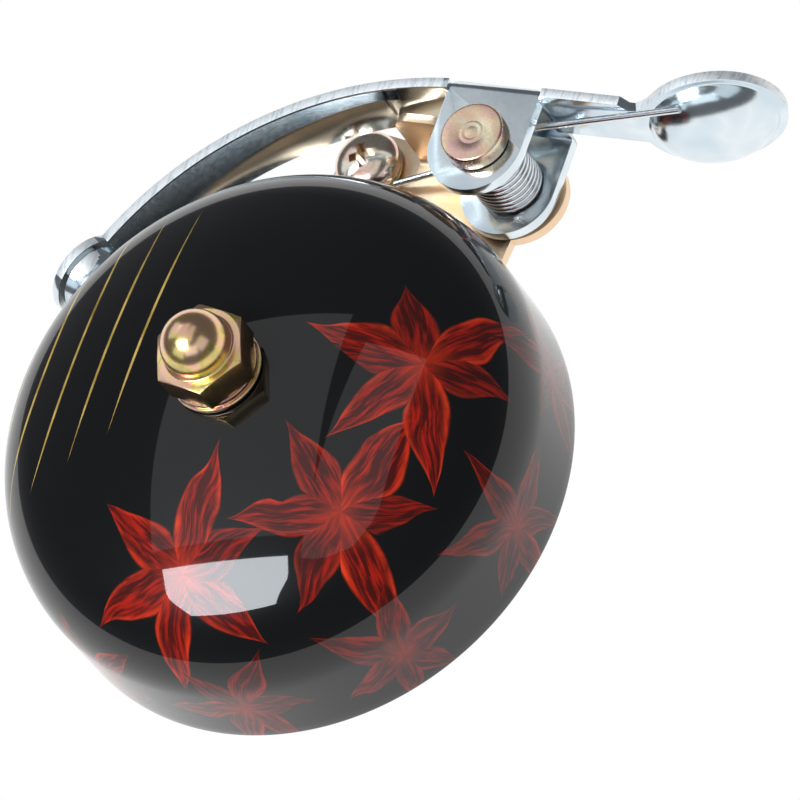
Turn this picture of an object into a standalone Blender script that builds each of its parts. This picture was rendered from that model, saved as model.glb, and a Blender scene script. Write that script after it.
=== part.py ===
"""Bicycle bell with a spring-loaded striker lever, on a band clamp for a 22.2 mm handlebar.

Frame, in metres: the origin is the centre of the handlebar under the clamp band. +X runs along
the bar towards the thumb pad, +Y runs across the bar towards the striker lever, and +Z points
up, parallel to the axis of the bell dome.
"""

import math

import bmesh
import bpy
from mathutils import Matrix, Vector

# Clearances
GAP = 0.0003
RUNNING_GAP = 0.0001
CUT_MARGIN = 0.004

# Handlebar, liner and clamp band
BAR_RADIUS = 0.0111
LINER_THICKNESS = 0.0013
LINER_WIDTH = 0.012
LINER_SPLIT_ANGLE = 42.0
LINER_SPLIT = 0.0016
BAND_THICKNESS = 0.0012
BAND_WIDTH = 0.011
BAND_NECK_WIDTH = 0.007
BAND_BEND = 0.0012
BAND_MID_RADIUS = BAR_RADIUS + LINER_THICKNESS + GAP + BAND_THICKNESS / 2
BAND_EAR_GAP = 0.0038
BAND_EAR_END = 0.0226
HOOK_LENGTH = 0.0048

# Base bracket
BRACKET_THICKNESS = 0.0011
BRACKET_BOTTOM = BAR_RADIUS + LINER_THICKNESS + GAP
BRACKET_TOP = BRACKET_BOTTOM + BRACKET_THICKNESS
BRACKET_LEFT = -0.0063
DISC_RADIUS = 0.0050
LOBE_RADIUS = 0.0040
BOSS_RADIUS = 0.0075
STOP_TAB_WIDTH = 0.0060
STOP_TAB_HEIGHT = 0.0093
STOP_TAB_THICKNESS = 0.0009
STOP_TAB_CORNER = 0.0019
STOP_TAB_BEND = 0.0007
STOP_TAB_FOOT = 0.0030

# Bell dome: a crown, a knuckle and a straight side
DOME_X = 0.0073
DOME_Y = -0.0175
RIM_Z = BRACKET_BOTTOM + 0.0042
DOME_RADIUS = 0.0275
DOME_WALL = 0.0016
CROWN_RADIUS = 0.0518
KNUCKLE_RADIUS = 0.0100
SIDE_HEIGHT = 0.0085
DOME_HOLE_RADIUS = 0.0028

# Where the stop tab stands, measured from the dome
STOP_TAB_CENTRE_X = DOME_X + 0.0006
STOP_TAB_OUTER_Y = DOME_Y + 0.0379

# Centre stack
BOLT_RADIUS = 0.0025
BOLT_HEAD_RADIUS = 0.0033
BOLT_HEAD_HEIGHT = 0.0016
BOLT_TOP = RIM_Z + 0.0275
NUT_CORNER_RADIUS = 0.00490
NUT_HEX_HEIGHT = 0.00325
NUT_BALL_RADIUS = 0.0034
NUT_NECK = 0.00065
NUT_TURN = 21.0
HEX_CHAMFER = 0.3
JAM_NUT_CORNER_RADIUS = 0.0046
JAM_NUT_HEIGHT = 0.0027
SPACER_RADIUS = 0.0040
WASHER_THICKNESS = 0.0004
LOCK_WASHER_THICKNESS = 0.0006
WASHER_RADIUS = 0.0046
WASHER_HOLE_RADIUS = 0.0028
SEAT_WASHER_RADIUS = 0.0060
SEAT_WASHER_THICKNESS = 0.0008

# Pivot pin and return spring
PIVOT_X = DOME_X + 0.00945
PIVOT_Y = DOME_Y + 0.03445
PIN_RADIUS = 0.0020
PIN_HEAD_RADIUS = 0.00325
PIN_HEAD_TOP = RIM_Z + 0.0095
PIN_TAIL_RADIUS = 0.0029
PIN_TAIL_HEIGHT = 0.0009
PIVOT_WASHER_RADIUS = 0.0036
SPRING_WIRE_RADIUS = 0.00036
SPRING_MID_RADIUS = 0.00305
SPRING_TURNS = 7
SPRING_BOTTOM = RIM_Z - 0.00094
SPRING_TOP = RIM_Z + 0.0040

# Striker lever
SHEET = 0.0010
WEB_OUTER_Y = DOME_Y + 0.0406
LEVER_BOTTOM = RIM_Z + 0.0012
LEVER_TOP = RIM_Z + 0.0083
EAR_RADIUS = 0.0050
EAR_OFFSET = Vector((-0.00035, -0.0003))
EAR_THICKNESS = 0.0012
EAR_TOP = RIM_Z + 0.0074
EAR_BOTTOM = RIM_Z - 0.0026
EAR_BEND = 0.0013
EAR_STEP = 0.00075
ARM_CENTRE = Vector((DOME_X + 0.0064, DOME_Y + 0.0041))
ARM_MID_RADIUS = WEB_OUTER_Y - SHEET / 2 - ARM_CENTRE.y + 0.0002
ARM_RISE = -0.0003
ARM_START_ANGLE = 93.5
ARM_END_ANGLE = 156.0
ARM_INSET_START = 0.00025
ARM_INSET_END = 0.0024
ARM_CREASE_DROP = 0.0015
ARM_BOTTOM_START = RIM_Z + 0.0016
ARM_BOTTOM_END = RIM_Z + 0.0040
HAMMER_ANGLE = 150.4
HAMMER_DISTANCE = 0.0327
HAMMER_Z = RIM_Z + 0.0052
HAMMER_RADIUS = 0.0045
HAMMER_RIM = 0.0012
HAMMER_DEPTH = 0.0029
THUMB_CENTRE = Vector((DOME_X + 0.03025, DOME_Y + 0.0427))
THUMB_Z = RIM_Z + 0.0022
THUMB_TURN = 22.0
THUMB_RADIUS = 0.0071
THUMB_DEPTH = 0.0030
THUMB_RIM = 0.0012
NECK_START_X = DOME_X + 0.0231
NECK_DIP = 0.0014

# Clamp screw
SCREW_X = 0.0
SCREW_Y = DOME_Y + 0.0354
SCREW_RADIUS = 0.0020
SCREW_HEAD_RADIUS = 0.0034
SCREW_HEAD_HEIGHT = 0.0024
SCREW_RECESS_WIDTH = 0.0009
SCREW_RECESS_LENGTH = 0.0036
SCREW_RECESS_DEPTH = 0.0012
CLAMP_WASHER_RADIUS = 0.0033
CLAMP_WASHER_THICKNESS = 0.0006
SQUARE_NUT_WIDTH = 0.0070
SQUARE_NUT_HEIGHT = 0.0026

OBJECT_NAME = "bicycle_bell"


# ---- scene, collections and materials ----

def clear_scene():
    for old in list(bpy.data.objects):
        bpy.data.objects.remove(old, do_unlink=True)


def new_collection(name, hidden=False):
    collection = bpy.data.collections.new(name)
    bpy.context.scene.collection.children.link(collection)
    collection.hide_render = hidden
    return collection


def principled(name, colour, metallic, roughness):
    material = bpy.data.materials.new(name)
    material.use_nodes = True
    shader = material.node_tree.nodes["Principled BSDF"]
    shader.inputs["Base Color"].default_value = (*colour, 1.0)
    shader.inputs["Metallic"].default_value = metallic
    shader.inputs["Roughness"].default_value = roughness
    return material


clear_scene()
PARTS = new_collection(OBJECT_NAME)
CUTTERS = new_collection("cutters", hidden=True)

BLACK_LACQUER = principled("black_lacquer", (0.012, 0.013, 0.014), 0.0, 0.08)
BRIGHT_PLATE = principled("bright_plate", (0.72, 0.77, 0.80), 1.0, 0.18)
YELLOW_ZINC = principled("yellow_zinc", (0.80, 0.62, 0.36), 1.0, 0.28)
SPRING_STEEL = principled("spring_steel", (0.62, 0.62, 0.62), 1.0, 0.25)
RUBBER = principled("rubber", (0.02, 0.02, 0.02), 0.0, 0.7)


# ---- shape helpers ----

def place(obj, material=None):
    """Puts an object among the parts, or among the hidden helpers when it has no material."""
    (PARTS if material else CUTTERS).objects.link(obj)
    if material:
        obj.data.materials.clear()
        obj.data.materials.append(material)
    else:
        obj.hide_render = True
        obj.display_type = "WIRE"
    return obj


def shade(obj, angle=35.0):
    obj.data.shade_smooth()
    obj.data.set_sharp_from_angle(angle=math.radians(angle))


def mesh_object(name, bm, material=None):
    mesh = bpy.data.meshes.new(name)
    bm.to_mesh(mesh)
    bm.free()
    return place(bpy.data.objects.new(name, mesh), material)


def polar(centre, radius, degrees):
    turn = math.radians(degrees)
    return Vector((centre.x + radius * math.cos(turn), centre.y + radius * math.sin(turn)))


def arc(centre, radius, start, end, steps):
    """Points from one angle to another, in degrees, both ends included."""
    return [polar(centre, radius, start + (end - start) * i / steps) for i in range(steps + 1)]


def plate(name, outline, low, high, material=None, along="Z"):
    """A flat closed outline given thickness between two heights along Z, or along X for a
    profile drawn in the YZ plane. The curve is made a mesh with welded caps."""
    curve = bpy.data.curves.new(name, "CURVE")
    curve.dimensions = "2D"
    curve.fill_mode = "BOTH"
    curve.extrude = (high - low) / 2
    spline = curve.splines.new("POLY")
    spline.points.add(len(outline) - 1)
    for point, corner in zip(spline.points, outline):
        point.co = (corner[0], corner[1], 0.0, 1.0)
    spline.use_cyclic_u = True
    drawn = bpy.data.objects.new(name + "_curve", curve)
    if along == "X":
        drawn.rotation_euler = (math.radians(90), 0, math.radians(90))
        drawn.location.x = (low + high) / 2
    elif along == "Y":
        drawn.rotation_euler = (math.radians(90), 0, 0)
        drawn.location.y = (low + high) / 2
    else:
        drawn.location.z = (low + high) / 2
    bpy.context.scene.collection.objects.link(drawn)
    bpy.context.view_layer.update()
    graph = bpy.context.evaluated_depsgraph_get()
    mesh = bpy.data.meshes.new_from_object(drawn.evaluated_get(graph))
    mesh.transform(drawn.matrix_world)
    bpy.data.objects.remove(drawn, do_unlink=True)
    bm = bmesh.new()
    bm.from_mesh(mesh)
    bmesh.ops.remove_doubles(bm, verts=bm.verts, dist=1e-7)
    bmesh.ops.recalc_face_normals(bm, faces=bm.faces)
    bpy.data.meshes.remove(mesh)
    return mesh_object(name, bm, material)


def box(name, low, high, material=None):
    bm = bmesh.new()
    bmesh.ops.create_cube(bm, size=1.0)
    for vert in bm.verts:
        for axis in range(3):
            vert.co[axis] = low[axis] if vert.co[axis] < 0 else high[axis]
    return mesh_object(name, bm, material)


def rod(name, x, y, low, high, radius, segments=32, material=None, turn=0.0):
    """A round bar, or a prism with few segments, standing along Z."""
    bm = bmesh.new()
    bmesh.ops.create_cone(
        bm, cap_ends=True, segments=segments, radius1=radius, radius2=radius, depth=high - low
    )
    obj = mesh_object(name, bm, material)
    obj.location = (x, y, (low + high) / 2)
    obj.rotation_euler.z = math.radians(turn)
    return obj


def turned(name, profile, x, y, material=None, steps=32, closed=False):
    """A profile of (radius, height) points, listed down its outer side, turned about Z."""
    mesh = bpy.data.meshes.new(name)
    verts = [(radius, 0.0, height) for radius, height in profile]
    edges = [(i, i + 1) for i in range(len(verts) - 1)]
    if closed:
        edges.append((len(verts) - 1, 0))
    mesh.from_pydata(verts, edges, [])
    obj = bpy.data.objects.new(name, mesh)
    obj.location = (x, y, 0)
    screw = obj.modifiers.new("turn", "SCREW")
    screw.steps = steps
    screw.render_steps = steps
    screw.use_merge_vertices = True
    screw.merge_threshold = 0.00001
    screw.use_smooth_shade = True
    return place(obj, material)


def ring(name, x, y, low, high, inner, outer, material=None, chamfer=0.0, steps=32):
    """A washer or tube with chamfered outer edges."""
    profile = [
        (inner, high), (outer - chamfer, high), (outer, high - chamfer),
        (outer, low + chamfer), (outer - chamfer, low), (inner, low),
    ]
    if chamfer == 0:
        profile = [(inner, high), (outer, high), (outer, low), (inner, low)]
    return turned(name, profile, x, y, material, steps, closed=True)


def combine(obj, other, operation="DIFFERENCE"):
    boolean = obj.modifiers.new(operation.lower(), "BOOLEAN")
    boolean.operation = operation
    boolean.object = other
    return obj


def soften(obj, width, segments=2, angle=40.0):
    bevel = obj.modifiers.new("soften", "BEVEL")
    bevel.width = width
    bevel.segments = segments
    bevel.limit_method = "ANGLE"
    bevel.angle_limit = math.radians(angle)
    return obj


def bevel_where(obj, test, width, segments):
    """Rounds the edges whose two ends both pass the test."""
    bm = bmesh.new()
    bm.from_mesh(obj.data)
    edges = [e for e in bm.edges if all(test(v.co) for v in e.verts)]
    bmesh.ops.bevel(
        bm, geom=edges, offset=width, segments=segments, profile=0.5, affect="EDGES",
        clamp_overlap=True,
    )
    bm.to_mesh(obj.data)
    bm.free()


def sheet_loft(name, rows, thickness):
    """A thin sheet over a grid of points, thickened equally to both sides."""
    bm = bmesh.new()
    grid = [[bm.verts.new(point) for point in row] for row in rows]
    for row, after in zip(grid, grid[1:]):
        for i in range(len(row) - 1):
            bm.faces.new((row[i], after[i], after[i + 1], row[i + 1]))
    bmesh.ops.recalc_face_normals(bm, faces=bm.faces)
    obj = mesh_object(name, bm)
    solid = obj.modifiers.new("sheet", "SOLIDIFY")
    solid.thickness = thickness
    solid.offset = 0.0
    solid.use_even_offset = True
    return obj


def dish(name, centre, height, radius, rim, depth, facing, steps=28):
    """A round pad pressed from sheet, bulging towards the angle it faces."""
    profile = [(radius, 0.0)]
    bowl = radius - rim
    for step in range(7):
        across = math.cos(math.radians(90 * step / 6))
        rise = math.sin(math.radians(90 * step / 6))
        profile.append((bowl * across, depth * rise))
    profile[-1] = (0.0, depth)
    obj = turned(name, profile, 0, 0, steps=steps)
    obj.location = (centre.x, centre.y, height)
    obj.rotation_euler = (0, math.radians(90), math.radians(facing))
    solid = obj.modifiers.new("sheet", "SOLIDIFY")
    solid.thickness = SHEET
    solid.offset = 0.0
    solid.use_even_offset = True
    return obj


# ---- bell dome ----

def dome_outline(inset):
    """The dome's (radius, height) curve from its pole to its rim, moved inwards by inset."""
    crown = CROWN_RADIUS - inset
    knuckle = KNUCKLE_RADIUS - inset
    side = DOME_RADIUS - inset
    knuckle_centre = DOME_RADIUS - KNUCKLE_RADIUS
    reach = CROWN_RADIUS - KNUCKLE_RADIUS
    crown_centre = SIDE_HEIGHT - math.sqrt(reach ** 2 - knuckle_centre ** 2)
    lean = math.asin(knuckle_centre / reach)
    hole = math.asin(DOME_HOLE_RADIUS / crown)
    points = []
    for step in range(6):
        turn = hole + (lean - hole) * step / 6
        points.append((crown * math.sin(turn), crown_centre + crown * math.cos(turn)))
    for step in range(8):
        turn = lean + (math.pi / 2 - lean) * step / 7
        points.append((
            knuckle_centre + knuckle * math.sin(turn),
            SIDE_HEIGHT + knuckle * math.cos(turn),
        ))
    points.append((side, 0.0))
    return points


def make_dome():
    edge = DOME_WALL * 0.25
    outer = dome_outline(0.0)[:-1] + [(DOME_RADIUS, edge), (DOME_RADIUS - edge, 0.0)]
    inner = dome_outline(DOME_WALL)[:-1]
    inner += [(DOME_RADIUS - DOME_WALL, edge), (DOME_RADIUS - DOME_WALL + edge, 0.0)]
    profile = [(radius, height + RIM_Z) for radius, height in outer + inner[::-1]]
    return turned("bell_dome", profile, DOME_X, DOME_Y, BLACK_LACQUER, steps=48, closed=True)


def dome_height(radius, inset=0.0):
    """Height above the rim plane of the dome's crown at a radius."""
    reach = CROWN_RADIUS - KNUCKLE_RADIUS
    centre = SIDE_HEIGHT - math.sqrt(reach ** 2 - (DOME_RADIUS - KNUCKLE_RADIUS) ** 2)
    return centre + math.sqrt((CROWN_RADIUS - inset) ** 2 - radius ** 2)


# ---- centre stack: bolt, nuts, spacer and washers ----

def chamfered_hex(name, x, y, low, high, corner, material, turn=0.0, top_only=False):
    """A hexagonal prism whose corners are turned off by a cone."""
    flat = corner * math.cos(math.radians(30))
    drop = (corner - flat) * HEX_CHAMFER
    reach = corner + 0.0005
    profile = [
        (0.0, high), (flat, high), (corner, high - drop), (reach, high - drop),
        (reach, low if top_only else low + drop),
    ]
    if not top_only:
        profile += [(corner, low + drop), (flat, low)]
    profile.append((0.0, low))
    hexagon = rod(name, x, y, low, high, corner, 6, material, turn)
    return combine(hexagon, turned(name + "_cone", profile, x, y), "INTERSECT")


def make_centre_stack():
    inner_crown = RIM_Z + dome_height(SEAT_WASHER_RADIUS, DOME_WALL)
    seat_top = inner_crown - GAP
    seat_low = seat_top - SEAT_WASHER_THICKNESS
    ring("seat_washer", DOME_X, DOME_Y, seat_low, seat_top, WASHER_HOLE_RADIUS,
         SEAT_WASHER_RADIUS, YELLOW_ZINC, 0.0002)

    jam_low = BRACKET_TOP + GAP
    jam_top = jam_low + JAM_NUT_HEIGHT
    jam = chamfered_hex("jam_nut", DOME_X, DOME_Y, jam_low, jam_top, JAM_NUT_CORNER_RADIUS,
                        YELLOW_ZINC, 20.0)
    combine(jam, rod("jam_nut_bore", DOME_X, DOME_Y, jam_low - CUT_MARGIN, jam_top + CUT_MARGIN,
                     BOLT_RADIUS + GAP))

    ring("spacer_tube", DOME_X, DOME_Y, jam_top + GAP, seat_low - GAP, BOLT_RADIUS + GAP,
         SPACER_RADIUS, YELLOW_ZINC, 0.0002)

    washer_low = RIM_Z + dome_height(DOME_HOLE_RADIUS) + RUNNING_GAP
    washer_top = washer_low + WASHER_THICKNESS
    ring("top_washer", DOME_X, DOME_Y, washer_low, washer_top, WASHER_HOLE_RADIUS,
         WASHER_RADIUS, YELLOW_ZINC, 0.0001)

    lock_low = washer_top + RUNNING_GAP
    lock_top = lock_low + LOCK_WASHER_THICKNESS
    lock = ring("lock_washer", DOME_X, DOME_Y, lock_low, lock_top, WASHER_HOLE_RADIUS,
                WASHER_RADIUS - 0.0002, YELLOW_ZINC)
    slit = box("lock_washer_slit", (0, -0.0003, -CUT_MARGIN), (CUT_MARGIN * 2, 0.0003, CUT_MARGIN))
    slit.location = (DOME_X, DOME_Y, (lock_low + lock_top) / 2)
    slit.rotation_euler = (math.radians(30), 0, math.radians(200))
    combine(lock, slit)

    make_acorn_nut(lock_top + RUNNING_GAP)
    make_centre_bolt()


def make_acorn_nut(low):
    hex_top = low + NUT_HEX_HEIGHT
    ball_z = hex_top + NUT_NECK
    nut = chamfered_hex("acorn_nut", DOME_X, DOME_Y, low, hex_top, NUT_CORNER_RADIUS,
                        YELLOW_ZINC, NUT_TURN, top_only=True)
    profile = [(0.0, ball_z + NUT_BALL_RADIUS)]
    for step in range(1, 8):
        turn = math.radians(90 * step / 7)
        profile.append((NUT_BALL_RADIUS * math.sin(turn), ball_z + NUT_BALL_RADIUS * math.cos(turn)))
    profile += [(NUT_BALL_RADIUS, hex_top - GAP), (0.0, hex_top - GAP)]
    combine(nut, turned("acorn_ball", profile, DOME_X, DOME_Y), "UNION")
    combine(nut, rod("acorn_bore", DOME_X, DOME_Y, low - CUT_MARGIN, BOLT_TOP + GAP,
                     BOLT_RADIUS + GAP))


def make_centre_bolt():
    head_top = BRACKET_BOTTOM - GAP
    head_low = head_top - BOLT_HEAD_HEIGHT
    crown = head_top - BOLT_HEAD_HEIGHT * 0.5
    profile = [
        (0.0, BOLT_TOP), (BOLT_RADIUS - 0.0004, BOLT_TOP), (BOLT_RADIUS, BOLT_TOP - 0.0004),
        (BOLT_RADIUS, head_top), (BOLT_HEAD_RADIUS, head_top), (BOLT_HEAD_RADIUS, crown),
        (BOLT_HEAD_RADIUS * 0.75, head_low + 0.0002), (BOLT_HEAD_RADIUS * 0.4, head_low),
        (0.0, head_low),
    ]
    turned("centre_bolt", profile, DOME_X, DOME_Y, YELLOW_ZINC)


# ---- base bracket ----

def bracket_outline():
    """The flat plate: round under the dome, widening to the pivot disc and the screw lobe."""
    disc = Vector((PIVOT_X, PIVOT_Y))
    lobe = Vector((SCREW_X, SCREW_Y))
    boss = Vector((DOME_X, DOME_Y))
    points = arc(disc, DISC_RADIUS, -80, 150, 20)
    points.append(Vector((STOP_TAB_CENTRE_X + STOP_TAB_WIDTH / 2 + 0.0005, SCREW_Y + 0.0014)))
    points.append(Vector((STOP_TAB_CENTRE_X - STOP_TAB_WIDTH / 2 - 0.0008, SCREW_Y + 0.0034)))
    points += arc(lobe, LOBE_RADIUS, 78, 180, 8)
    points.append(Vector((BRACKET_LEFT, SCREW_Y - 0.0120)))
    corner = Vector((BRACKET_LEFT + LOBE_RADIUS, DOME_Y - 0.0030))
    points += arc(corner, LOBE_RADIUS, 180, 262, 5)
    points += arc(boss, BOSS_RADIUS, 268, 355, 8)
    return points


def make_bracket():
    bracket = plate("base_bracket", bracket_outline(), BRACKET_BOTTOM, BRACKET_TOP, YELLOW_ZINC)

    bend = STOP_TAB_BEND
    inner_y = STOP_TAB_OUTER_Y - STOP_TAB_THICKNESS
    tab_top = BRACKET_BOTTOM + STOP_TAB_HEIGHT
    foot = inner_y - STOP_TAB_FOOT
    outer_corner = Vector((inner_y - bend, BRACKET_TOP + bend))
    inner_bend = arc(outer_corner, bend, 0, -90, 4)
    outer_bend = arc(outer_corner, bend + STOP_TAB_THICKNESS, -90, 0, 5)
    section = [Vector((inner_y, tab_top))] + inner_bend + [Vector((foot, BRACKET_TOP))]
    section += [Vector((foot, BRACKET_BOTTOM))] + outer_bend + [Vector((STOP_TAB_OUTER_Y, tab_top))]
    half = STOP_TAB_WIDTH / 2
    tab = plate("stop_tab", section, STOP_TAB_CENTRE_X - half, STOP_TAB_CENTRE_X + half, along="X")
    corner_x = half - STOP_TAB_CORNER
    corner_z = tab_top - STOP_TAB_CORNER
    face = arc(Vector((STOP_TAB_CENTRE_X + corner_x, corner_z)), STOP_TAB_CORNER, 0, 90, 6)
    face += arc(Vector((STOP_TAB_CENTRE_X - corner_x, corner_z)), STOP_TAB_CORNER, 90, 180, 6)
    face += [
        Vector((STOP_TAB_CENTRE_X - half, BRACKET_BOTTOM - GAP)),
        Vector((STOP_TAB_CENTRE_X + half, BRACKET_BOTTOM - GAP)),
    ]
    # A plate drawn for Y has its thickness along Y, so the round-topped face trims the tab.
    trim = plate("stop_tab_face", face, foot - GAP, STOP_TAB_OUTER_Y + GAP, along="Y")
    combine(tab, trim, "INTERSECT")
    combine(bracket, tab, "UNION")

    low = BRACKET_BOTTOM - CUT_MARGIN
    high = BRACKET_TOP + CUT_MARGIN * 0.5
    holes = [
        ("bolt_hole", DOME_X, DOME_Y, BOLT_RADIUS + GAP),
        ("pin_hole", PIVOT_X, PIVOT_Y, PIN_RADIUS + GAP),
        ("screw_hole", SCREW_X, SCREW_Y, SCREW_RADIUS + GAP),
    ]
    for name, x, y, radius in holes:
        combine(bracket, rod(name, x, y, low, high, radius, 24))
    slot_half = BAND_NECK_WIDTH / 2 + GAP
    slot_y = -BAND_MID_RADIUS
    reach = BAND_THICKNESS / 2 + GAP
    slot = box("band_slot", (-slot_half, slot_y - reach, low), (slot_half, slot_y + reach, high))
    combine(bracket, slot)
    shade(bracket, 30)


# ---- clamp: liner, band, screw, washer and nut ----

def make_liner():
    outer = BAR_RADIUS + LINER_THICKNESS
    half = LINER_SPLIT / 2
    spread_outer = math.degrees(math.asin(half / outer))
    spread_inner = math.degrees(math.asin(half / BAR_RADIUS))
    centre = Vector((0.0, 0.0))
    turn = LINER_SPLIT_ANGLE
    points = arc(centre, outer, turn + spread_outer, turn + 360 - spread_outer, 52)
    points += arc(centre, BAR_RADIUS, turn + 360 - spread_inner, turn + spread_inner, 52)
    liner = plate("clamp_liner", points, -LINER_WIDTH / 2, LINER_WIDTH / 2, RUBBER, along="X")
    shade(liner, 30)


def make_band():
    """The strap: hooked through the bracket's slot, round the bar, and out to a flat ear."""
    half = BAND_THICKNESS / 2
    mid = BAND_MID_RADIUS
    ear_top = BRACKET_BOTTOM - BAND_EAR_GAP
    ear_mid = ear_top - half
    hook_mid = BRACKET_TOP + GAP + half
    bend = BAND_BEND
    centre = Vector((0.0, 0.0))

    def strap(side):
        """One face of the strap, in (Y, Z): side is +1 for the outer face, -1 for the inner."""
        ear_bend = Vector((mid + bend, ear_mid - bend))
        hook_bend = Vector((-mid + bend, hook_mid - bend))
        points = [Vector((-mid + HOOK_LENGTH, hook_mid + side * half))]
        points += arc(hook_bend, bend + side * half, 90, 180, 4)
        points += arc(centre, mid + side * half, 180, 360, 30)
        points += arc(ear_bend, bend - side * half, 180, 90, 4)
        points.append(Vector((BAND_EAR_END, ear_mid - side * half)))
        return points

    outline = strap(+1) + strap(-1)[::-1]
    width = BAND_WIDTH / 2
    band = plate("clamp_band", outline, -width, width, YELLOW_ZINC, along="X")
    high = hook_mid + CUT_MARGIN
    neck_low = BRACKET_BOTTOM - GAP * 2
    for side in (-1, 1):
        ends = sorted((side * BAND_NECK_WIDTH / 2, side * (width + CUT_MARGIN)))
        shoulder = box("band_shoulder", (ends[0], -mid - CUT_MARGIN, neck_low),
                       (ends[1], -mid + HOOK_LENGTH + CUT_MARGIN, high))
        combine(band, shoulder)
    combine(band, rod("band_hole", SCREW_X, SCREW_Y, ear_mid - CUT_MARGIN, ear_mid + CUT_MARGIN,
                      SCREW_RADIUS + GAP, 24))
    shade(band, 30)
    return ear_mid - half


def make_clamp_screw(ear_low):
    washer_low = BRACKET_TOP + RUNNING_GAP
    washer_top = washer_low + CLAMP_WASHER_THICKNESS
    ring("clamp_washer", SCREW_X, SCREW_Y, washer_low, washer_top, SCREW_RADIUS + GAP,
         CLAMP_WASHER_RADIUS, YELLOW_ZINC, 0.0001, 28)

    head_low = washer_top + RUNNING_GAP
    head_top = head_low + SCREW_HEAD_HEIGHT
    tip = ear_low - GAP - SQUARE_NUT_HEIGHT - 0.0020
    side = 0.0008
    profile = [(0.0, head_top)]
    for step in range(1, 6):
        turn = math.radians(90 * step / 5)
        profile.append((
            SCREW_HEAD_RADIUS * math.sin(turn),
            head_low + side + (SCREW_HEAD_HEIGHT - side) * math.cos(turn),
        ))
    profile += [
        (SCREW_HEAD_RADIUS, head_low), (SCREW_RADIUS, head_low),
        (SCREW_RADIUS, tip + 0.0005), (SCREW_RADIUS - 0.0005, tip), (0.0, tip),
    ]
    screw = turned("clamp_screw", profile, SCREW_X, SCREW_Y, YELLOW_ZINC, 28)
    long_half = SCREW_RECESS_LENGTH / 2
    short_half = SCREW_RECESS_WIDTH / 2
    floor = head_top - SCREW_RECESS_DEPTH
    for turn in (25.0, 115.0):
        recess = box("screw_recess", (-long_half, -short_half, floor),
                     (long_half, short_half, head_top + CUT_MARGIN))
        recess.location = (SCREW_X, SCREW_Y, 0)
        recess.rotation_euler.z = math.radians(turn)
        combine(screw, recess)

    nut_top = ear_low - GAP
    nut_half = SQUARE_NUT_WIDTH / 2
    nut = box("square_nut", (SCREW_X - nut_half, SCREW_Y - nut_half, nut_top - SQUARE_NUT_HEIGHT),
              (SCREW_X + nut_half, SCREW_Y + nut_half, nut_top), YELLOW_ZINC)
    soften(nut, 0.0003, 1)
    combine(nut, rod("nut_bore", SCREW_X, SCREW_Y, nut_top - SQUARE_NUT_HEIGHT - CUT_MARGIN,
                     nut_top + CUT_MARGIN, SCREW_RADIUS + GAP, 28))


# ---- pivot pin, washer and return spring ----

def make_pivot():
    head_low = EAR_TOP + 2 * RUNNING_GAP
    tail_top = BRACKET_BOTTOM - GAP
    tail_low = tail_top - PIN_TAIL_HEIGHT
    rounding = 0.0002
    profile = [
        (0.0, PIN_HEAD_TOP), (PIN_HEAD_RADIUS - rounding, PIN_HEAD_TOP),
        (PIN_HEAD_RADIUS, PIN_HEAD_TOP - rounding), (PIN_HEAD_RADIUS, head_low + rounding),
        (PIN_HEAD_RADIUS - rounding, head_low), (PIN_RADIUS, head_low), (PIN_RADIUS, tail_top),
        (PIN_TAIL_RADIUS, tail_top), (PIN_TAIL_RADIUS * 0.9, tail_low + rounding),
        (PIN_TAIL_RADIUS * 0.6, tail_low), (0.0, tail_low),
    ]
    turned("pivot_pin", profile, PIVOT_X, PIVOT_Y, YELLOW_ZINC)
    ring("pivot_washer", PIVOT_X, PIVOT_Y, BRACKET_TOP + RUNNING_GAP, EAR_BOTTOM - RUNNING_GAP,
         PIN_RADIUS + RUNNING_GAP, PIVOT_WASHER_RADIUS, YELLOW_ZINC)


def make_spring():
    """A close-wound torsion spring, clockwise from its lower leg to its upper leg."""
    per_turn = 16
    pivot = Vector((PIVOT_X, PIVOT_Y))
    lower_angle = 107.0
    upper_angle = 96.5
    total = 360.0 * SPRING_TURNS - (upper_angle - lower_angle)
    count = int(SPRING_TURNS * per_turn)
    lower_end = Vector((DOME_X - 0.0038, DOME_Y + 0.0337, BRACKET_TOP + 0.0009))
    lower_bend = Vector((DOME_X + 0.0030, DOME_Y + 0.0357, SPRING_BOTTOM))
    upper_end = Vector((DOME_X + 0.0300, DOME_Y + 0.0397, RIM_Z + 0.0086))
    points = [lower_end, lower_bend]
    for step in range(count + 1):
        share = step / count
        around = polar(pivot, SPRING_MID_RADIUS, lower_angle - total * share)
        height = SPRING_BOTTOM + (SPRING_TOP - SPRING_BOTTOM) * share
        points.append(Vector((around.x, around.y, height)))
    points.append(upper_end)

    curve = bpy.data.curves.new("return_spring", "CURVE")
    curve.dimensions = "3D"
    curve.bevel_depth = SPRING_WIRE_RADIUS
    curve.bevel_resolution = 2
    curve.use_fill_caps = True
    spline = curve.splines.new("POLY")
    spline.points.add(len(points) - 1)
    for point, place_at in zip(spline.points, points):
        point.co = (*place_at, 1.0)
    spring = bpy.data.objects.new("return_spring", curve)
    place(spring, SPRING_STEEL)


# ---- striker lever ----

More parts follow.
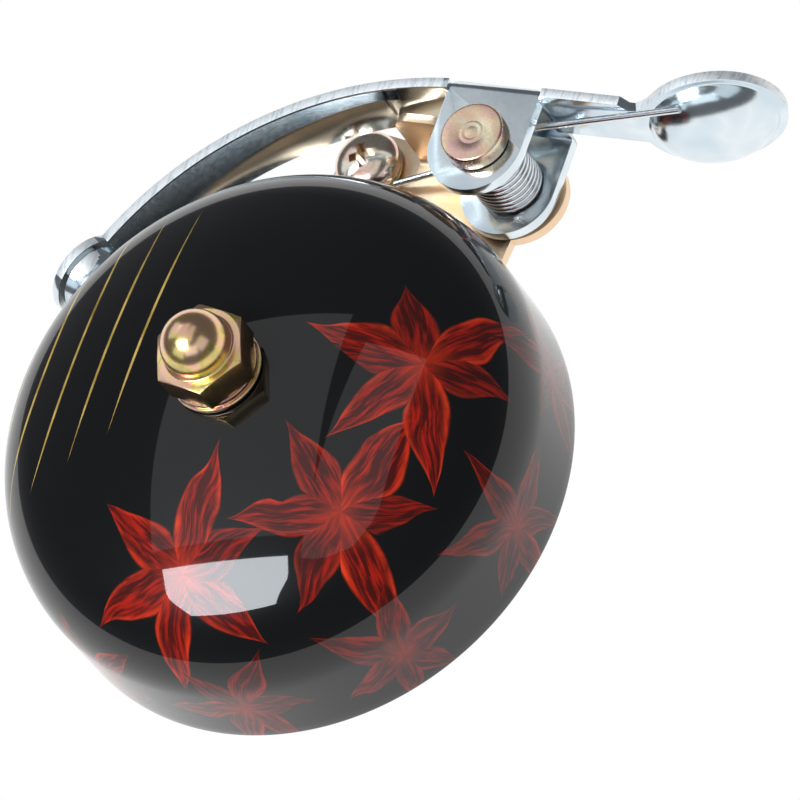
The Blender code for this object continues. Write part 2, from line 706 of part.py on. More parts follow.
def make_clevis():
    """The U-shaped middle: two round-ended ears folded from the web, drilled for the pin."""
    outer_y = WEB_OUTER_Y + EAR_STEP
    centre = Vector((PIVOT_X, PIVOT_Y)) + EAR_OFFSET
    outline = arc(centre, EAR_RADIUS, 180, 360, 18)
    outline += [
        Vector((centre.x + EAR_RADIUS, outer_y)), Vector((centre.x - EAR_RADIUS, outer_y)),
    ]
    clevis = plate("striker_lever", outline, EAR_BOTTOM, EAR_TOP, BRIGHT_PLATE)
    back = outer_y - RUNNING_GAP
    bevel_where(clevis, lambda co: co.y > back, EAR_BEND, 5)

    inner_y = outer_y - SHEET
    room = plate("clevis_room", [
        Vector((PIVOT_X - EAR_RADIUS - CUT_MARGIN, PIVOT_Y - EAR_RADIUS - CUT_MARGIN)),
        Vector((PIVOT_X + EAR_RADIUS + CUT_MARGIN, PIVOT_Y - EAR_RADIUS - CUT_MARGIN)),
        Vector((PIVOT_X + EAR_RADIUS + CUT_MARGIN, inner_y)),
        Vector((PIVOT_X - EAR_RADIUS - CUT_MARGIN, inner_y)),
    ], EAR_BOTTOM + EAR_THICKNESS, EAR_TOP - EAR_THICKNESS)
    front = inner_y - RUNNING_GAP
    bevel_where(room, lambda co: co.y > front, EAR_BEND - SHEET, 4)
    combine(clevis, room)
    combine(clevis, rod("ear_holes", PIVOT_X, PIVOT_Y, EAR_BOTTOM - CUT_MARGIN,
                        EAR_TOP + CUT_MARGIN, PIN_RADIUS + RUNNING_GAP))
    return clevis


def arm_rows():
    """Mid-surface of the curved arm: an upright lip, a slope in towards the dome, then the web."""
    steps = 18
    lip = 0.0005
    rows = []
    for step in range(steps + 1):
        share = step / steps
        angle = ARM_START_ANGLE + (ARM_END_ANGLE - ARM_START_ANGLE) * share
        outward = Vector((math.cos(math.radians(angle)), math.sin(math.radians(angle))))
        inset = ARM_INSET_START + (ARM_INSET_END - ARM_INSET_START) * share
        fall = lip + inset * 0.85 + ARM_CREASE_DROP * max(0.0, 1 - share / 0.2)
        bottom = ARM_BOTTOM_START + (ARM_BOTTOM_END - ARM_BOTTOM_START) * share
        top = LEVER_TOP + ARM_RISE * (1 - share)
        section = [(0.0, top), (0.0, top - lip), (inset, top - fall), (inset, bottom)]
        rows.append([
            Vector((*(ARM_CENTRE + outward * (ARM_MID_RADIUS - inward)), height))
            for inward, height in section
        ])
    return rows


def paddle_rows():
    """Mid-surface of the flat strip from the clevis to the thumb pad, narrowing at the neck."""
    turn = math.radians(THUMB_TURN)
    along = Vector((math.cos(turn), math.sin(turn)))
    mid_y = WEB_OUTER_Y - SHEET / 2
    clevis_side = PIVOT_X + EAR_OFFSET.x + EAR_RADIUS
    bend_at = THUMB_CENTRE - along * (THUMB_CENTRE.y - mid_y) / along.y
    pad_low = THUMB_CENTRE - along * (THUMB_RADIUS - THUMB_RIM * 0.9)
    pad_high = THUMB_CENTRE - along * THUMB_RADIUS * 0.68
    neck = LEVER_TOP - NECK_DIP
    route = [
        (Vector((clevis_side - 0.0004, mid_y)), None, EAR_TOP - EAR_BEND),
        (Vector((clevis_side + 0.0005, mid_y)), None, LEVER_TOP),
        (Vector((NECK_START_X, mid_y)), None, LEVER_TOP),
        (bend_at, None, neck + NECK_DIP * 0.25),
        (bend_at + along * 0.0006, None, neck),
        (pad_low, pad_high, THUMB_Z + THUMB_RADIUS * 0.72),
    ]
    return [
        [Vector((*low, LEVER_BOTTOM)), Vector((*(high or low), top))] for low, high, top in route
    ]


def make_lever():
    lever = make_clevis()
    combine(lever, sheet_loft("arm_sheet", arm_rows(), SHEET), "UNION")
    clevis_left = PIVOT_X + EAR_OFFSET.x - EAR_RADIUS
    root = box("arm_root", (clevis_left - SHEET, WEB_OUTER_Y - SHEET * 0.95, LEVER_BOTTOM + GAP),
               (clevis_left + SHEET, WEB_OUTER_Y - SHEET * 0.05, EAR_TOP - EAR_BEND))
    combine(lever, root, "UNION")
    combine(lever, sheet_loft("paddle_sheet", paddle_rows(), SHEET * 0.96), "UNION")
    thumb = dish("thumb_dish", THUMB_CENTRE, THUMB_Z, THUMB_RADIUS,
                 THUMB_RIM, THUMB_DEPTH, THUMB_TURN - 90.0, 32)
    combine(lever, thumb, "UNION")
    hammer_at = polar(Vector((DOME_X, DOME_Y)), HAMMER_DISTANCE, HAMMER_ANGLE)
    hammer = dish("hammer_dish", hammer_at, HAMMER_Z, HAMMER_RADIUS, HAMMER_RIM, HAMMER_DEPTH,
                  HAMMER_ANGLE - 180.0, 24)
    combine(lever, hammer, "UNION")
    shade(lever, 30)
    axis = Vector((PIVOT_X, PIVOT_Y, (EAR_TOP + EAR_BOTTOM) / 2))
    lever.data.transform(Matrix.Translation(-axis))
    lever.location = axis


make_dome()
make_centre_stack()
make_bracket()
make_liner()
make_clamp_screw(make_band())
make_pivot()
make_spring()
make_lever()
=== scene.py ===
"""Bicycle bell with a painted lacquer dome: fine pieces, materials, light and camera.

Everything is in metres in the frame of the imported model: the origin is the centre of the
handlebar, +X runs along it towards the thumb pad, +Y across it towards the striker lever, and
+Z is parallel to the axis of the dome.
"""

import math

import bmesh
import bpy
from mathutils import Matrix, Vector


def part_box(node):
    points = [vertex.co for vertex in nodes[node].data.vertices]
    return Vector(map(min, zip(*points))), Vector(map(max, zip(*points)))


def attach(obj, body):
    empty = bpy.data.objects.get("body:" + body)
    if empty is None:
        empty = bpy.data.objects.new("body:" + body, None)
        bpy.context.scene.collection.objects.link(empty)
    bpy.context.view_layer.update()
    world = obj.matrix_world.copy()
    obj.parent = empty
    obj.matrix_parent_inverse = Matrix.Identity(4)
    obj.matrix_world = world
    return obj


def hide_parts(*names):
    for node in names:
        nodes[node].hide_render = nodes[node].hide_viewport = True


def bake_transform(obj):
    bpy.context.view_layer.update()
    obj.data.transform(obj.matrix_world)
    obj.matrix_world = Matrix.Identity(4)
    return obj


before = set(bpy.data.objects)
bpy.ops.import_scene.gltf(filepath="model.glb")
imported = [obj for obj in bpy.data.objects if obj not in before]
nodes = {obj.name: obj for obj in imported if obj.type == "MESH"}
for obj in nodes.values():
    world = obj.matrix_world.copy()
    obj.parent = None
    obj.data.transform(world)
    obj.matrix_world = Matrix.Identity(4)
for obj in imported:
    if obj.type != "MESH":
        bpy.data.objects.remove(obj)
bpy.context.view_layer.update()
scene = bpy.context.scene
scene.view_settings.view_transform = "Standard"

MM = 0.001
GAP = 0.3 * MM
CUT_MARGIN = 1.0 * MM
WELD = 0.004 * MM
BUMP_DISTANCE = 0.1 * MM


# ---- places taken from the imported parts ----

def middle(node):
    low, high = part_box(node)
    return (low + high) / 2


dome_low, dome_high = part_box("bell_dome")
dome_mid = middle("bell_dome")
DOME = Vector((dome_mid.x, dome_mid.y, 0.0))
RIM_Z = dome_low.z
DOME_RADIUS = (dome_high.x - dome_low.x) / 2
pin_low, pin_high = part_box("pivot_pin")
PIVOT = Vector((middle("pivot_pin").x, middle("pivot_pin").y, 0.0))
screw_low, screw_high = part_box("clamp_screw")
SCREW = Vector((middle("clamp_screw").x, middle("clamp_screw").y, 0.0))
nut_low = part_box("acorn_nut")[0]
BRACKET_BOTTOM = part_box("base_bracket")[0].z


# ---- camera ----

LENS = 326.7
CAMERA_DISTANCE = 0.700
CAMERA_BACK = Vector((0.4806, -0.3622, 0.7986))
CAMERA_UP = Vector((-0.115, 0.8775, 0.4667))
# How far the middle of the view is from the middle of the dome's rim.
VIEW_RIGHT = 8.65 * MM
VIEW_UP = 7.65 * MM
back = CAMERA_BACK.normalized()
up = (CAMERA_UP - back * CAMERA_UP.dot(back)).normalized()
right = up.cross(back)
camera_data = bpy.data.cameras.new("camera")
camera_data.lens = LENS
camera_data.sensor_width = 36.0
camera_data.clip_start = 0.01
camera_data.clip_end = 20.0
camera = bpy.data.objects.new("camera", camera_data)
scene.collection.objects.link(camera)
rim_centre = Vector((DOME.x, DOME.y, RIM_Z))
view_point = rim_centre + right * VIEW_RIGHT + up * VIEW_UP
camera.matrix_world = Matrix.Translation(view_point + back * CAMERA_DISTANCE) @ Matrix(
    (right, up, back)).transposed().to_4x4()
scene.camera = camera


# ---- node helpers ----

class Shade:
    """A material's node tree, with short calls for the nodes used here."""

    def __init__(self, name):
        self.material = bpy.data.materials.new(name)
        self.material.use_nodes = True
        self.tree = self.material.node_tree
        self.bsdf = self.tree.nodes["Principled BSDF"]

    def node(self, kind, **settings):
        made = self.tree.nodes.new(kind)
        for key, value in settings.items():
            setattr(made, key, value)
        return made

    def link(self, value, socket):
        if isinstance(value, Value):
            value = value.socket
        if isinstance(value, bpy.types.NodeSocket):
            self.tree.links.new(value, socket)
        else:
            socket.default_value = value

    def math(self, operation, *inputs):
        made = self.node("ShaderNodeMath", operation=operation)
        for socket, value in zip(made.inputs, inputs):
            self.link(value, socket)
        return Value(self, made.outputs[0])

    def place(self):
        """The point in the object's own space, in millimetres."""
        coordinates = self.node("ShaderNodeTexCoord")
        scale = self.node("ShaderNodeVectorMath", operation="SCALE")
        self.link(coordinates.outputs["Object"], scale.inputs[0])
        scale.inputs["Scale"].default_value = 1000.0
        return scale.outputs[0]

    def stretched(self, vector, scale, turn=(0.0, 0.0, 0.0)):
        mapping = self.node("ShaderNodeMapping")
        self.link(vector, mapping.inputs["Vector"])
        mapping.inputs["Scale"].default_value = scale
        mapping.inputs["Rotation"].default_value = [math.radians(t) for t in turn]
        return mapping.outputs[0]

    def noise(self, vector, scale, detail=3.0, roughness=0.5, distortion=0.0):
        made = self.node("ShaderNodeTexNoise")
        self.link(vector, made.inputs["Vector"])
        made.inputs["Scale"].default_value = scale
        made.inputs["Detail"].default_value = detail
        made.inputs["Roughness"].default_value = roughness
        made.inputs["Distortion"].default_value = distortion
        return Value(self, made.outputs["Fac"])

    def ramp(self, value, stops):
        made = self.node("ShaderNodeValToRGB")
        elements = made.color_ramp.elements
        while len(elements) < len(stops):
            elements.new(0.5)
        for element, (position, colour) in zip(elements, stops):
            element.position = position
            element.color = (*colour, 1.0)
        self.link(value, made.inputs["Fac"])
        return made.outputs["Color"]

    def mix(self, share, low, high):
        made = self.node("ShaderNodeMix", data_type="RGBA")
        self.link(share, made.inputs[0])
        for value, socket in ((low, made.inputs[6]), (high, made.inputs[7])):
            if isinstance(value, tuple):
                value = (*value, 1.0)
            self.link(value, socket)
        return made.outputs[2]

    def bump(self, height, strength):
        made = self.node("ShaderNodeBump")
        made.inputs["Strength"].default_value = strength
        made.inputs["Distance"].default_value = BUMP_DISTANCE
        self.link(height, made.inputs["Height"])
        self.link(made.outputs["Normal"], self.bsdf.inputs["Normal"])

    def split(self, vector):
        made = self.node("ShaderNodeSeparateXYZ")
        self.link(vector, made.inputs[0])
        return [Value(self, made.outputs[i]) for i in range(3)]

    def combine(self, x, y, z=0.0):
        made = self.node("ShaderNodeCombineXYZ")
        for socket, value in zip(made.inputs, (x, y, z)):
            self.link(value, socket)
        return made.outputs[0]

    def set(self, **inputs):
        for key, value in inputs.items():
            self.link(value, self.bsdf.inputs[key.replace("_", " ")])


class Value:
    """A number flowing through a node tree, so that formulas can be written as formulas."""

    def __init__(self, shade, socket):
        self.shade = shade
        self.socket = socket

    def __add__(self, other):
        return self.shade.math("ADD", self, other)

    __radd__ = __add__

    def __sub__(self, other):
        return self.shade.math("SUBTRACT", self, other)

    def __rsub__(self, other):
        return self.shade.math("SUBTRACT", other, self)

    def __mul__(self, other):
        return self.shade.math("MULTIPLY", self, other)

    __rmul__ = __mul__

    def __truediv__(self, other):
        return self.shade.math("DIVIDE", self, other)

    def power(self, exponent):
        return self.shade.math("POWER", self, exponent)

    def absolute(self):
        return self.shade.math("ABSOLUTE", self)

    def above(self, low, high):
        """0 below low, 1 above high, smooth between."""
        made = self.shade.node("ShaderNodeMapRange", interpolation_type="SMOOTHSTEP")
        self.shade.link(self, made.inputs["Value"])
        self.shade.link(low, made.inputs["From Min"])
        self.shade.link(high, made.inputs["From Max"])
        return Value(self.shade, made.outputs[0])

    def scaled(self, low, high):
        """This 0 to 1 value as a value from low to high."""
        return self * (high - low) + low


# ---- materials ----

def make_plate():
    """Bright blue-white zinc on pressed steel."""
    s = Shade("plate_bright")
    place = s.place()
    cloud = s.noise(place, 0.16, 2.0, 0.5)
    fine = s.noise(place, 2.2, 4.0, 0.6)
    scratch = s.noise(s.stretched(place, (0.6, 6.0, 6.0), (0, 0, 25)), 2.0, 2.0, 0.5)
    tone = s.ramp(cloud, [(0.35, (0.66, 0.76, 0.83)), (0.52, (0.80, 0.88, 0.92)),
                          (0.68, (0.72, 0.80, 0.85))])
    speck = s.noise(place, 5.0, 2.0, 0.6).above(0.66, 0.74)
    s.set(Base_Color=s.mix(speck * 0.35, tone, (0.38, 0.42, 0.45)), Metallic=1.0,
          Roughness=fine.scaled(0.09, 0.25))
    s.bump(fine * 0.5 + scratch * 0.5 + cloud * 3.0, 0.06)
    return s.material


def make_sheared_highlight(name="plate_sheared_highlight"):
    """The torn edge that a press leaves: matt and striped across the sheet, with a near-white
    colour that is a painted highlight.
    """
    s = Shade(name)
    place = s.place()
    stripes = s.noise(s.stretched(place, (3.4, 0.5, 0.5), (0, 0, -12)), 1.0, 2.0, 0.6)
    pits = s.noise(place, 2.6, 2.0, 0.6)
    rough = stripes * 0.75 + pits * 0.25
    # The pale stops paint the cut edge near white, a painted highlight; the stripes and pits are
    # the edge's real texture.
    s.set(Base_Color=s.ramp(rough, [(0.34, (0.62, 0.70, 0.74)), (0.52, (0.96, 0.98, 0.99))]),
          Metallic=0.6, Roughness=rough.scaled(0.34, 0.58))
    s.bump(rough, 0.35)
    return s.material


def make_zinc(name, stops, scale=0.22, shine=(0.14, 0.30), marks=0.12):
    """Yellow chromate over zinc: thin-film colours drift across it in soft clouds."""
    s = Shade(name)
    place = s.place()
    cloud = s.noise(place, scale, 3.0, 0.55, 1.2)
    grain = s.noise(place, 2.4, 2.0, 0.5)
    drift = cloud * 0.90 + grain * 0.10
    film = s.ramp(drift, stops)
    speck = s.noise(place, 4.0, 2.0, 0.6).above(0.68, 0.76)
    s.set(Base_Color=s.mix(speck * 0.3, film, (0.30, 0.24, 0.12)), Metallic=1.0,
          Roughness=grain.scaled(*shine))
    s.bump(grain + cloud, marks)
    return s.material


OLIVE = (0.50, 0.46, 0.20)
GOLD = (0.84, 0.66, 0.34)
PEACH = (0.92, 0.66, 0.44)
PINK = (0.88, 0.56, 0.50)
PALE = (0.90, 0.80, 0.62)
GREEN = (0.48, 0.56, 0.40)
SAND = (0.93, 0.72, 0.50)
ROSE = (0.92, 0.54, 0.42)
BRASS = (0.84, 0.62, 0.22)
MOSS = (0.40, 0.43, 0.28)
BLUSH = (0.95, 0.76, 0.76)


def make_spring_steel():
    s = Shade("spring_wire")
    place = s.place()
    draw = s.noise(s.stretched(place, (1.0, 1.0, 9.0)), 2.5, 3.0, 0.6)
    s.set(Base_Color=s.ramp(draw, [(0.35, (0.66, 0.68, 0.70)), (0.6, (0.90, 0.91, 0.92))]),
          Metallic=1.0, Roughness=draw.scaled(0.12, 0.32))
    s.bump(draw, 0.05)
    return s.material


def make_rubber():
    s = Shade("rubber_black")
    place = s.place()
    grain = s.noise(place, 6.0, 5.0, 0.7)
    bloom = s.noise(place, 0.4, 3.0, 0.6)
    s.set(Base_Color=s.ramp(bloom, [(0.35, (0.018, 0.018, 0.019)), (0.7, (0.045, 0.044, 0.042))]),
          Roughness=grain.scaled(0.5, 0.8))
    s.bump(grain, 0.35)
    return s.material


def make_dome_inside():
    """The unpainted inside of the dome: spun steel with turning rings."""
    s = Shade("dome_inside")
    place = s.place()
    x, y, z = s.split(place)
    radius = (x * x + y * y).power(0.5)
    rings = s.noise(s.combine(radius, z), 3.0, 4.0, 0.6)
    cloud = s.noise(place, 0.12, 3.0, 0.6)
    s.set(Base_Color=s.ramp(cloud, [(0.35, (0.42, 0.43, 0.44)), (0.65, (0.60, 0.60, 0.59))]),
          Metallic=1.0, Roughness=rings.scaled(0.25, 0.5))
    s.bump(rings, 0.15)
    return s.material


PETAL_WIDTH = 0.34


def flat_place(s):
    """The dome's surface laid flat: distances in millimetres measured along it from its pole."""
    made = s.node("ShaderNodeAttribute", attribute_name="flat")
    x, y, _ = s.split(made.outputs["Vector"])
    return x, y


def blossom(s, x, y, wobble, centre, reach, turn, petals, seed):
    """A star-shaped flower: (how much petal, how near its edge, streak noise) at this point."""
    dx = x - centre[0] + (wobble - 0.5) * 2.4
    dy = y - centre[1] + (wobble - 0.5) * -1.8
    out = (dx * dx + dy * dy).power(0.5)
    step = math.tau / petals
    angle = s.math("ARCTAN2", dy, dx) + math.radians(turn) + math.tau * 2
    index = s.math("FLOOR", angle / step)
    fold = (s.math("MODULO", angle, step) - step / 2) * out
    pick = s.node("ShaderNodeTexWhiteNoise", noise_dimensions="1D")
    s.link(index + seed * 7.3, pick.inputs["W"])
    change = Value(s, pick.outputs["Value"])
    length = change.scaled(reach * 0.72, reach * 1.12)
    fold = fold + (change - 0.5) * out * 0.22
    share = out / length
    inner = share.power(0.55)
    taper = 1.0 - share
    width = s.math("MAXIMUM", inner * taper.above(0.0, 0.75), 0.0) * (reach * PETAL_WIDTH)
    side = fold.absolute() / (width + 0.001)
    petal = 1.0 - side.above(0.86, 1.04)
    petal = petal * (1.0 - share.above(0.93, 1.0))
    edge = side.above(0.55, 0.93) * petal
    streak = s.noise(s.combine(fold * 1.7, out * 0.16, index * 3.1 + seed), 1.6, 3.0, 0.6)
    return petal, edge, streak, change, share


BLOSSOM_ROWS = [
    # distance from the pole, first angle, step, how many, reach, brightness
    (20.0, -85.0, 50.0, 3, 13.0, 1.00),
    (36.0, -112.0, 34.0, 6, 11.0, 0.60),
]
BLOSSOM_PETALS = 6
BLOSSOM_TURN = 17.0
BLOSSOMS = [
    # centre, reach, turn, petals, brightness
    ((away * math.cos(math.radians(first + step * i)),
      away * math.sin(math.radians(first + step * i))),
     reach, BLOSSOM_TURN * i, BLOSSOM_PETALS, light)
    for away, first, step, count, reach, light in BLOSSOM_ROWS for i in range(count)
]

BLADES = 5
BLADE_X = -26.0
BLADE_STEP = 4.0
BLADE_BEND = 60.0
BLADE_BEND_STEP = 20.0
GOLD_LINES = [
    # centre of the arc, radius, half width, from y, to y: a fan of evenly stepped blades
    ((BLADE_X + BLADE_STEP * i - BLADE_BEND - BLADE_BEND_STEP * i, 0.0),
     BLADE_BEND + BLADE_BEND_STEP * i, 0.14, -20.0 + 3.0 * i, 20.0)
    for i in range(BLADES)
]


def make_lacquer():
    """Black lacquer over painted red blossoms and thin gold grasses."""
    s = Shade("lacquer_painted")
    x, y = flat_place(s)
    plane = s.combine(x, y)
    wobble = s.noise(plane, 0.16, 1.0, 0.5)
    colour = s.mix(s.noise(plane, 0.08, 2.0, 0.5), (0.0030, 0.0031, 0.0033),
                   (0.0055, 0.0055, 0.0056))
    hand = s.noise(plane, 0.22, 3.0, 0.6)
    for number, (centre, reach, turn, petals, light) in enumerate(BLOSSOMS):
        petal, edge, streak, change, share = blossom(
            s, x, y, wobble, centre, reach, turn, petals, number)
        dark = (0.075 * light, 0.004 * light, 0.002 * light)
        red = (0.50 * light, 0.014 * light, 0.004 * light)
        glow = (1.0 * light, 0.060 * light, 0.012 * light)
        body = s.mix(streak.above(0.42, 0.70), dark, red)
        lit = edge * (hand * 1.6 - 0.25).above(0.20, 0.90) * change.scaled(0.25, 1.10)
        lit = lit + (1.0 - share.above(0.0, 0.3)) * 0.35
        body = s.mix(s.math("MINIMUM", lit, 1.0), body, glow)
        fade = petal * (change * 0.5 + 0.62).above(0.0, 1.0)
        colour = s.mix(fade, colour, body)
    for centre, radius, half, low, high in GOLD_LINES:
        dx = x - centre[0]
        dy = y - centre[1]
        off = ((dx * dx + dy * dy).power(0.5) - radius).absolute()
        taper = y.above(low, low + 9.0) * (1.0 - y.above(high - 12.0, high))
        width = taper * half + 0.02
        line = (1.0 - (off / width).above(0.6, 1.2)) * taper.above(0.0, 0.1)
        sheen = s.ramp(hand, [(0.35, (0.30, 0.19, 0.03)), (0.6, (0.74, 0.50, 0.13))])
        colour = s.mix(line, colour, sheen)
    dust = s.noise(plane, 1.1, 2.0, 0.5).above(0.80, 0.83)
    s.set(Base_Color=s.mix(dust * 0.5, colour, (0.25, 0.25, 0.25)), Metallic=0.0,
          Roughness=s.noise(plane, 0.5, 3.0, 0.6).scaled(0.28, 0.42))
    s.bsdf.inputs["Coat Weight"].default_value = 1.0
    s.bsdf.inputs["Coat Roughness"].default_value = 0.025
    s.bsdf.inputs["Coat IOR"].default_value = 1.5
    s.bsdf.inputs["Specular IOR Level"].default_value = 0.06
    peel = s.noise(s.place(), 0.25, 2.0, 0.5)
    s.bump(peel, 0.012)
    return s.material


PLATE = make_plate()
SHEARED_HIGHLIGHT = make_sheared_highlight()
ZINC = make_zinc("zinc_gold", [(0.34, GREEN), (0.44, GOLD), (0.52, PEACH), (0.60, PINK),
                               (0.70, OLIVE)])
ZINC_PLATE = make_zinc("zinc_peach", [(0.32, SAND), (0.46, PEACH), (0.60, SAND), (0.72, PINK)],
                       0.12, (0.30, 0.46), 0.05)
ZINC_NUT = make_zinc("zinc_nut", [(0.34, OLIVE), (0.43, BRASS), (0.52, ROSE), (0.61, BRASS),
                                  (0.72, MOSS)], 0.17, (0.16, 0.28), 0.03)
ZINC_PIN = make_zinc("zinc_pink", [(0.34, PINK), (0.50, PEACH), (0.66, PALE), (0.76, GOLD)],
                     0.25, (0.20, 0.34), 0.05)
ZINC_SCREW = make_zinc("zinc_blush", [(0.34, BLUSH), (0.50, PALE), (0.62, PINK), (0.74, OLIVE)],
                       0.30, (0.12, 0.24), 0.03)
STEEL_WIRE = make_spring_steel()
RUBBER = make_rubber()
INSIDE = make_dome_inside()
LACQUER = make_lacquer()


# ---- shape helpers ----

def link(obj):
    scene.collection.objects.link(obj)
    return obj


def mesh_object(name, bm):
    mesh = bpy.data.meshes.new(name)
    bm.to_mesh(mesh)
    bm.free()
    return link(bpy.data.objects.new(name, mesh))


def polar(centre, radius, degrees):
    turn = math.radians(degrees)
    return Vector((centre.x + radius * math.cos(turn), centre.y + radius * math.sin(turn)))


def arc(centre, radius, start, end, steps):
    return [polar(centre, radius, start + (end - start) * i / steps) for i in range(steps + 1)]


def plate(name, outline, low, high, along="Z"):
    """A flat closed outline given thickness along one axis."""
    bm = bmesh.new()
    bottom = [bm.verts.new((p[0], p[1], low)) for p in outline]
    top = [bm.verts.new((p[0], p[1], high)) for p in outline]
    count = len(outline)
    bm.faces.new(bottom)
    bm.faces.new(top)
    for i in range(count):
        j = (i + 1) % count
        bm.faces.new((bottom[i], bottom[j], top[j], top[i]))
    if along == "X":
        turn = Matrix(((0, 0, 1, 0), (1, 0, 0, 0), (0, 1, 0, 0), (0, 0, 0, 1)))
        bmesh.ops.transform(bm, matrix=turn, verts=bm.verts)
    elif along == "Y":
        turn = Matrix(((1, 0, 0, 0), (0, 0, 1, 0), (0, 1, 0, 0), (0, 0, 0, 1)))
        bmesh.ops.transform(bm, matrix=turn, verts=bm.verts)
    bmesh.ops.recalc_face_normals(bm, faces=bm.faces)
    return mesh_object(name, bm)


def box(name, low, high):
    bm = bmesh.new()
    bmesh.ops.create_cube(bm, size=1.0)
    for vert in bm.verts:
        for axis in range(3):
            vert.co[axis] = low[axis] if vert.co[axis] < 0 else high[axis]
    return mesh_object(name, bm)


def rod(name, x, y, low, high, radius, segments=64, turn=0.0):
    bm = bmesh.new()
    bmesh.ops.create_cone(bm, cap_ends=True, segments=segments, radius1=radius, radius2=radius,
                          depth=high - low)
    spin = Matrix.Translation((x, y, (low + high) / 2)) @ Matrix.Rotation(
        math.radians(turn), 4, "Z")
    bmesh.ops.transform(bm, matrix=spin, verts=bm.verts)
    return mesh_object(name, bm)


ON_AXIS = 1e-7


def turned(name, profile, x=0.0, y=0.0, steps=96, closed=False, place=None):
    """A (radius, height) profile turned about Z, welded into one clean mesh."""
    bm = bmesh.new()
    rings = []
    for radius, height in profile:
        if radius < ON_AXIS:
            rings.append([bm.verts.new((0, 0, height))])
        else:
            rings.append([
                bm.verts.new((radius * math.cos(math.tau * i / steps),
                              radius * math.sin(math.tau * i / steps), height))
                for i in range(steps)
            ])
    pairs = list(zip(rings, rings[1:]))
    if closed:
        pairs.append((rings[-1], rings[0]))
    for upper, lower in pairs:
        for i in range(steps):
            j = (i + 1) % steps
            if len(upper) == 1 and len(lower) == 1:
                continue
            if len(upper) == 1:
                bm.faces.new((upper[0], lower[i], lower[j]))
            elif len(lower) == 1:
                bm.faces.new((upper[i], lower[0], upper[j]))
            else:
                bm.faces.new((upper[i], lower[i], lower[j], upper[j]))
    bmesh.ops.recalc_face_normals(bm, faces=bm.faces)
    bmesh.ops.transform(bm, matrix=place or Matrix.Translation((x, y, 0)), verts=bm.verts)
    return mesh_object(name, bm)


def ring(name, x, y, low, high, inner, outer):
    """A washer with softly rounded edges."""
    soft = min(0.12 * MM, (high - low) * 0.4)
    profile = []
    for corner, start in (((outer - soft, high - soft), 90), ((outer - soft, low + soft), 0),
                          ((inner + soft, low + soft), -90), ((inner + soft, high - soft), -180)):
        for step in range(4):
            turn = math.radians(start - 90 * step / 3)
            profile.append((corner[0] + soft * math.cos(turn), corner[1] + soft * math.sin(turn)))
    return turned(name, profile, x, y, closed=True)


def combine_with(obj, other, operation="DIFFERENCE", tolerant=False):
    """Applies a Boolean and removes the second shape."""
    boolean = obj.modifiers.new("cut", "BOOLEAN")
    boolean.operation = operation
    boolean.object = other
    boolean.solver = "EXACT"
    boolean.use_self = tolerant
    boolean.use_hole_tolerant = tolerant
    apply_modifiers(obj)
    bpy.data.objects.remove(other, do_unlink=True)
    return obj


def apply_modifiers(obj):
    bpy.context.view_layer.update()
    graph = bpy.context.evaluated_depsgraph_get()
    mesh = bpy.data.meshes.new_from_object(obj.evaluated_get(graph))
    obj.modifiers.clear()
    obj.data = mesh
    return obj


def clean(obj):
    """Welds the slivers that Booleans leave."""
    bm = bmesh.new()
    bm.from_mesh(obj.data)
    bmesh.ops.remove_doubles(bm, verts=bm.verts, dist=WELD)
    bmesh.ops.dissolve_degenerate(bm, edges=bm.edges, dist=WELD)
    bm.to_mesh(obj.data)
    bm.free()
    return obj


def soften(obj, width, segments, angle):
    """Rounds every sharp edge, as a press, a tumbler and plating do."""
    bevel = obj.modifiers.new("soften", "BEVEL")
    bevel.width = width
    bevel.segments = segments
    bevel.limit_method = "ANGLE"
    bevel.angle_limit = math.radians(angle)
    bevel.use_clamp_overlap = True
    bevel.harden_normals = False
    apply_modifiers(obj)


def smooth(obj, angle):
    obj.data.shade_smooth()
    obj.data.set_sharp_from_angle(angle=math.radians(angle))


def finish_piece(obj, body, slot, material, *replaced):
    obj.data.materials.clear()
    for one in material if isinstance(material, list) else [material]:
        obj.data.materials.append(one)
    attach(obj, body)
    if replaced:
        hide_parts(*replaced)


def mark_faces(obj, index, test):
    """Gives material slot index to the faces that pass the test on (centre, normal)."""
    for face in obj.data.polygons:
        if test(face.center, face.normal):
            face.material_index = index


# ---- bell dome ----

CROWN_RADIUS = 51.8 * MM
KNUCKLE_RADIUS = 10.0 * MM
SIDE_HEIGHT = 8.5 * MM
DOME_WALL = 1.6 * MM
DOME_HOLE = 2.8 * MM


def dome_outline(inset, crown_steps=40, knuckle_steps=26):
    crown = CROWN_RADIUS - inset
    knuckle = KNUCKLE_RADIUS - inset
    knuckle_centre = DOME_RADIUS - KNUCKLE_RADIUS
    reach = CROWN_RADIUS - KNUCKLE_RADIUS
    crown_centre = SIDE_HEIGHT - math.sqrt(reach ** 2 - knuckle_centre ** 2)
    lean = math.asin(knuckle_centre / reach)
    hole = math.asin(DOME_HOLE / crown)
    points = []
    for step in range(crown_steps):
        turn = hole + (lean - hole) * step / crown_steps
        points.append((crown * math.sin(turn), crown_centre + crown * math.cos(turn)))
    for step in range(knuckle_steps + 1):
        turn = lean + (math.pi / 2 - lean) * step / knuckle_steps
        points.append((knuckle_centre + knuckle * math.sin(turn),
                       SIDE_HEIGHT + knuckle * math.cos(turn)))
    return points


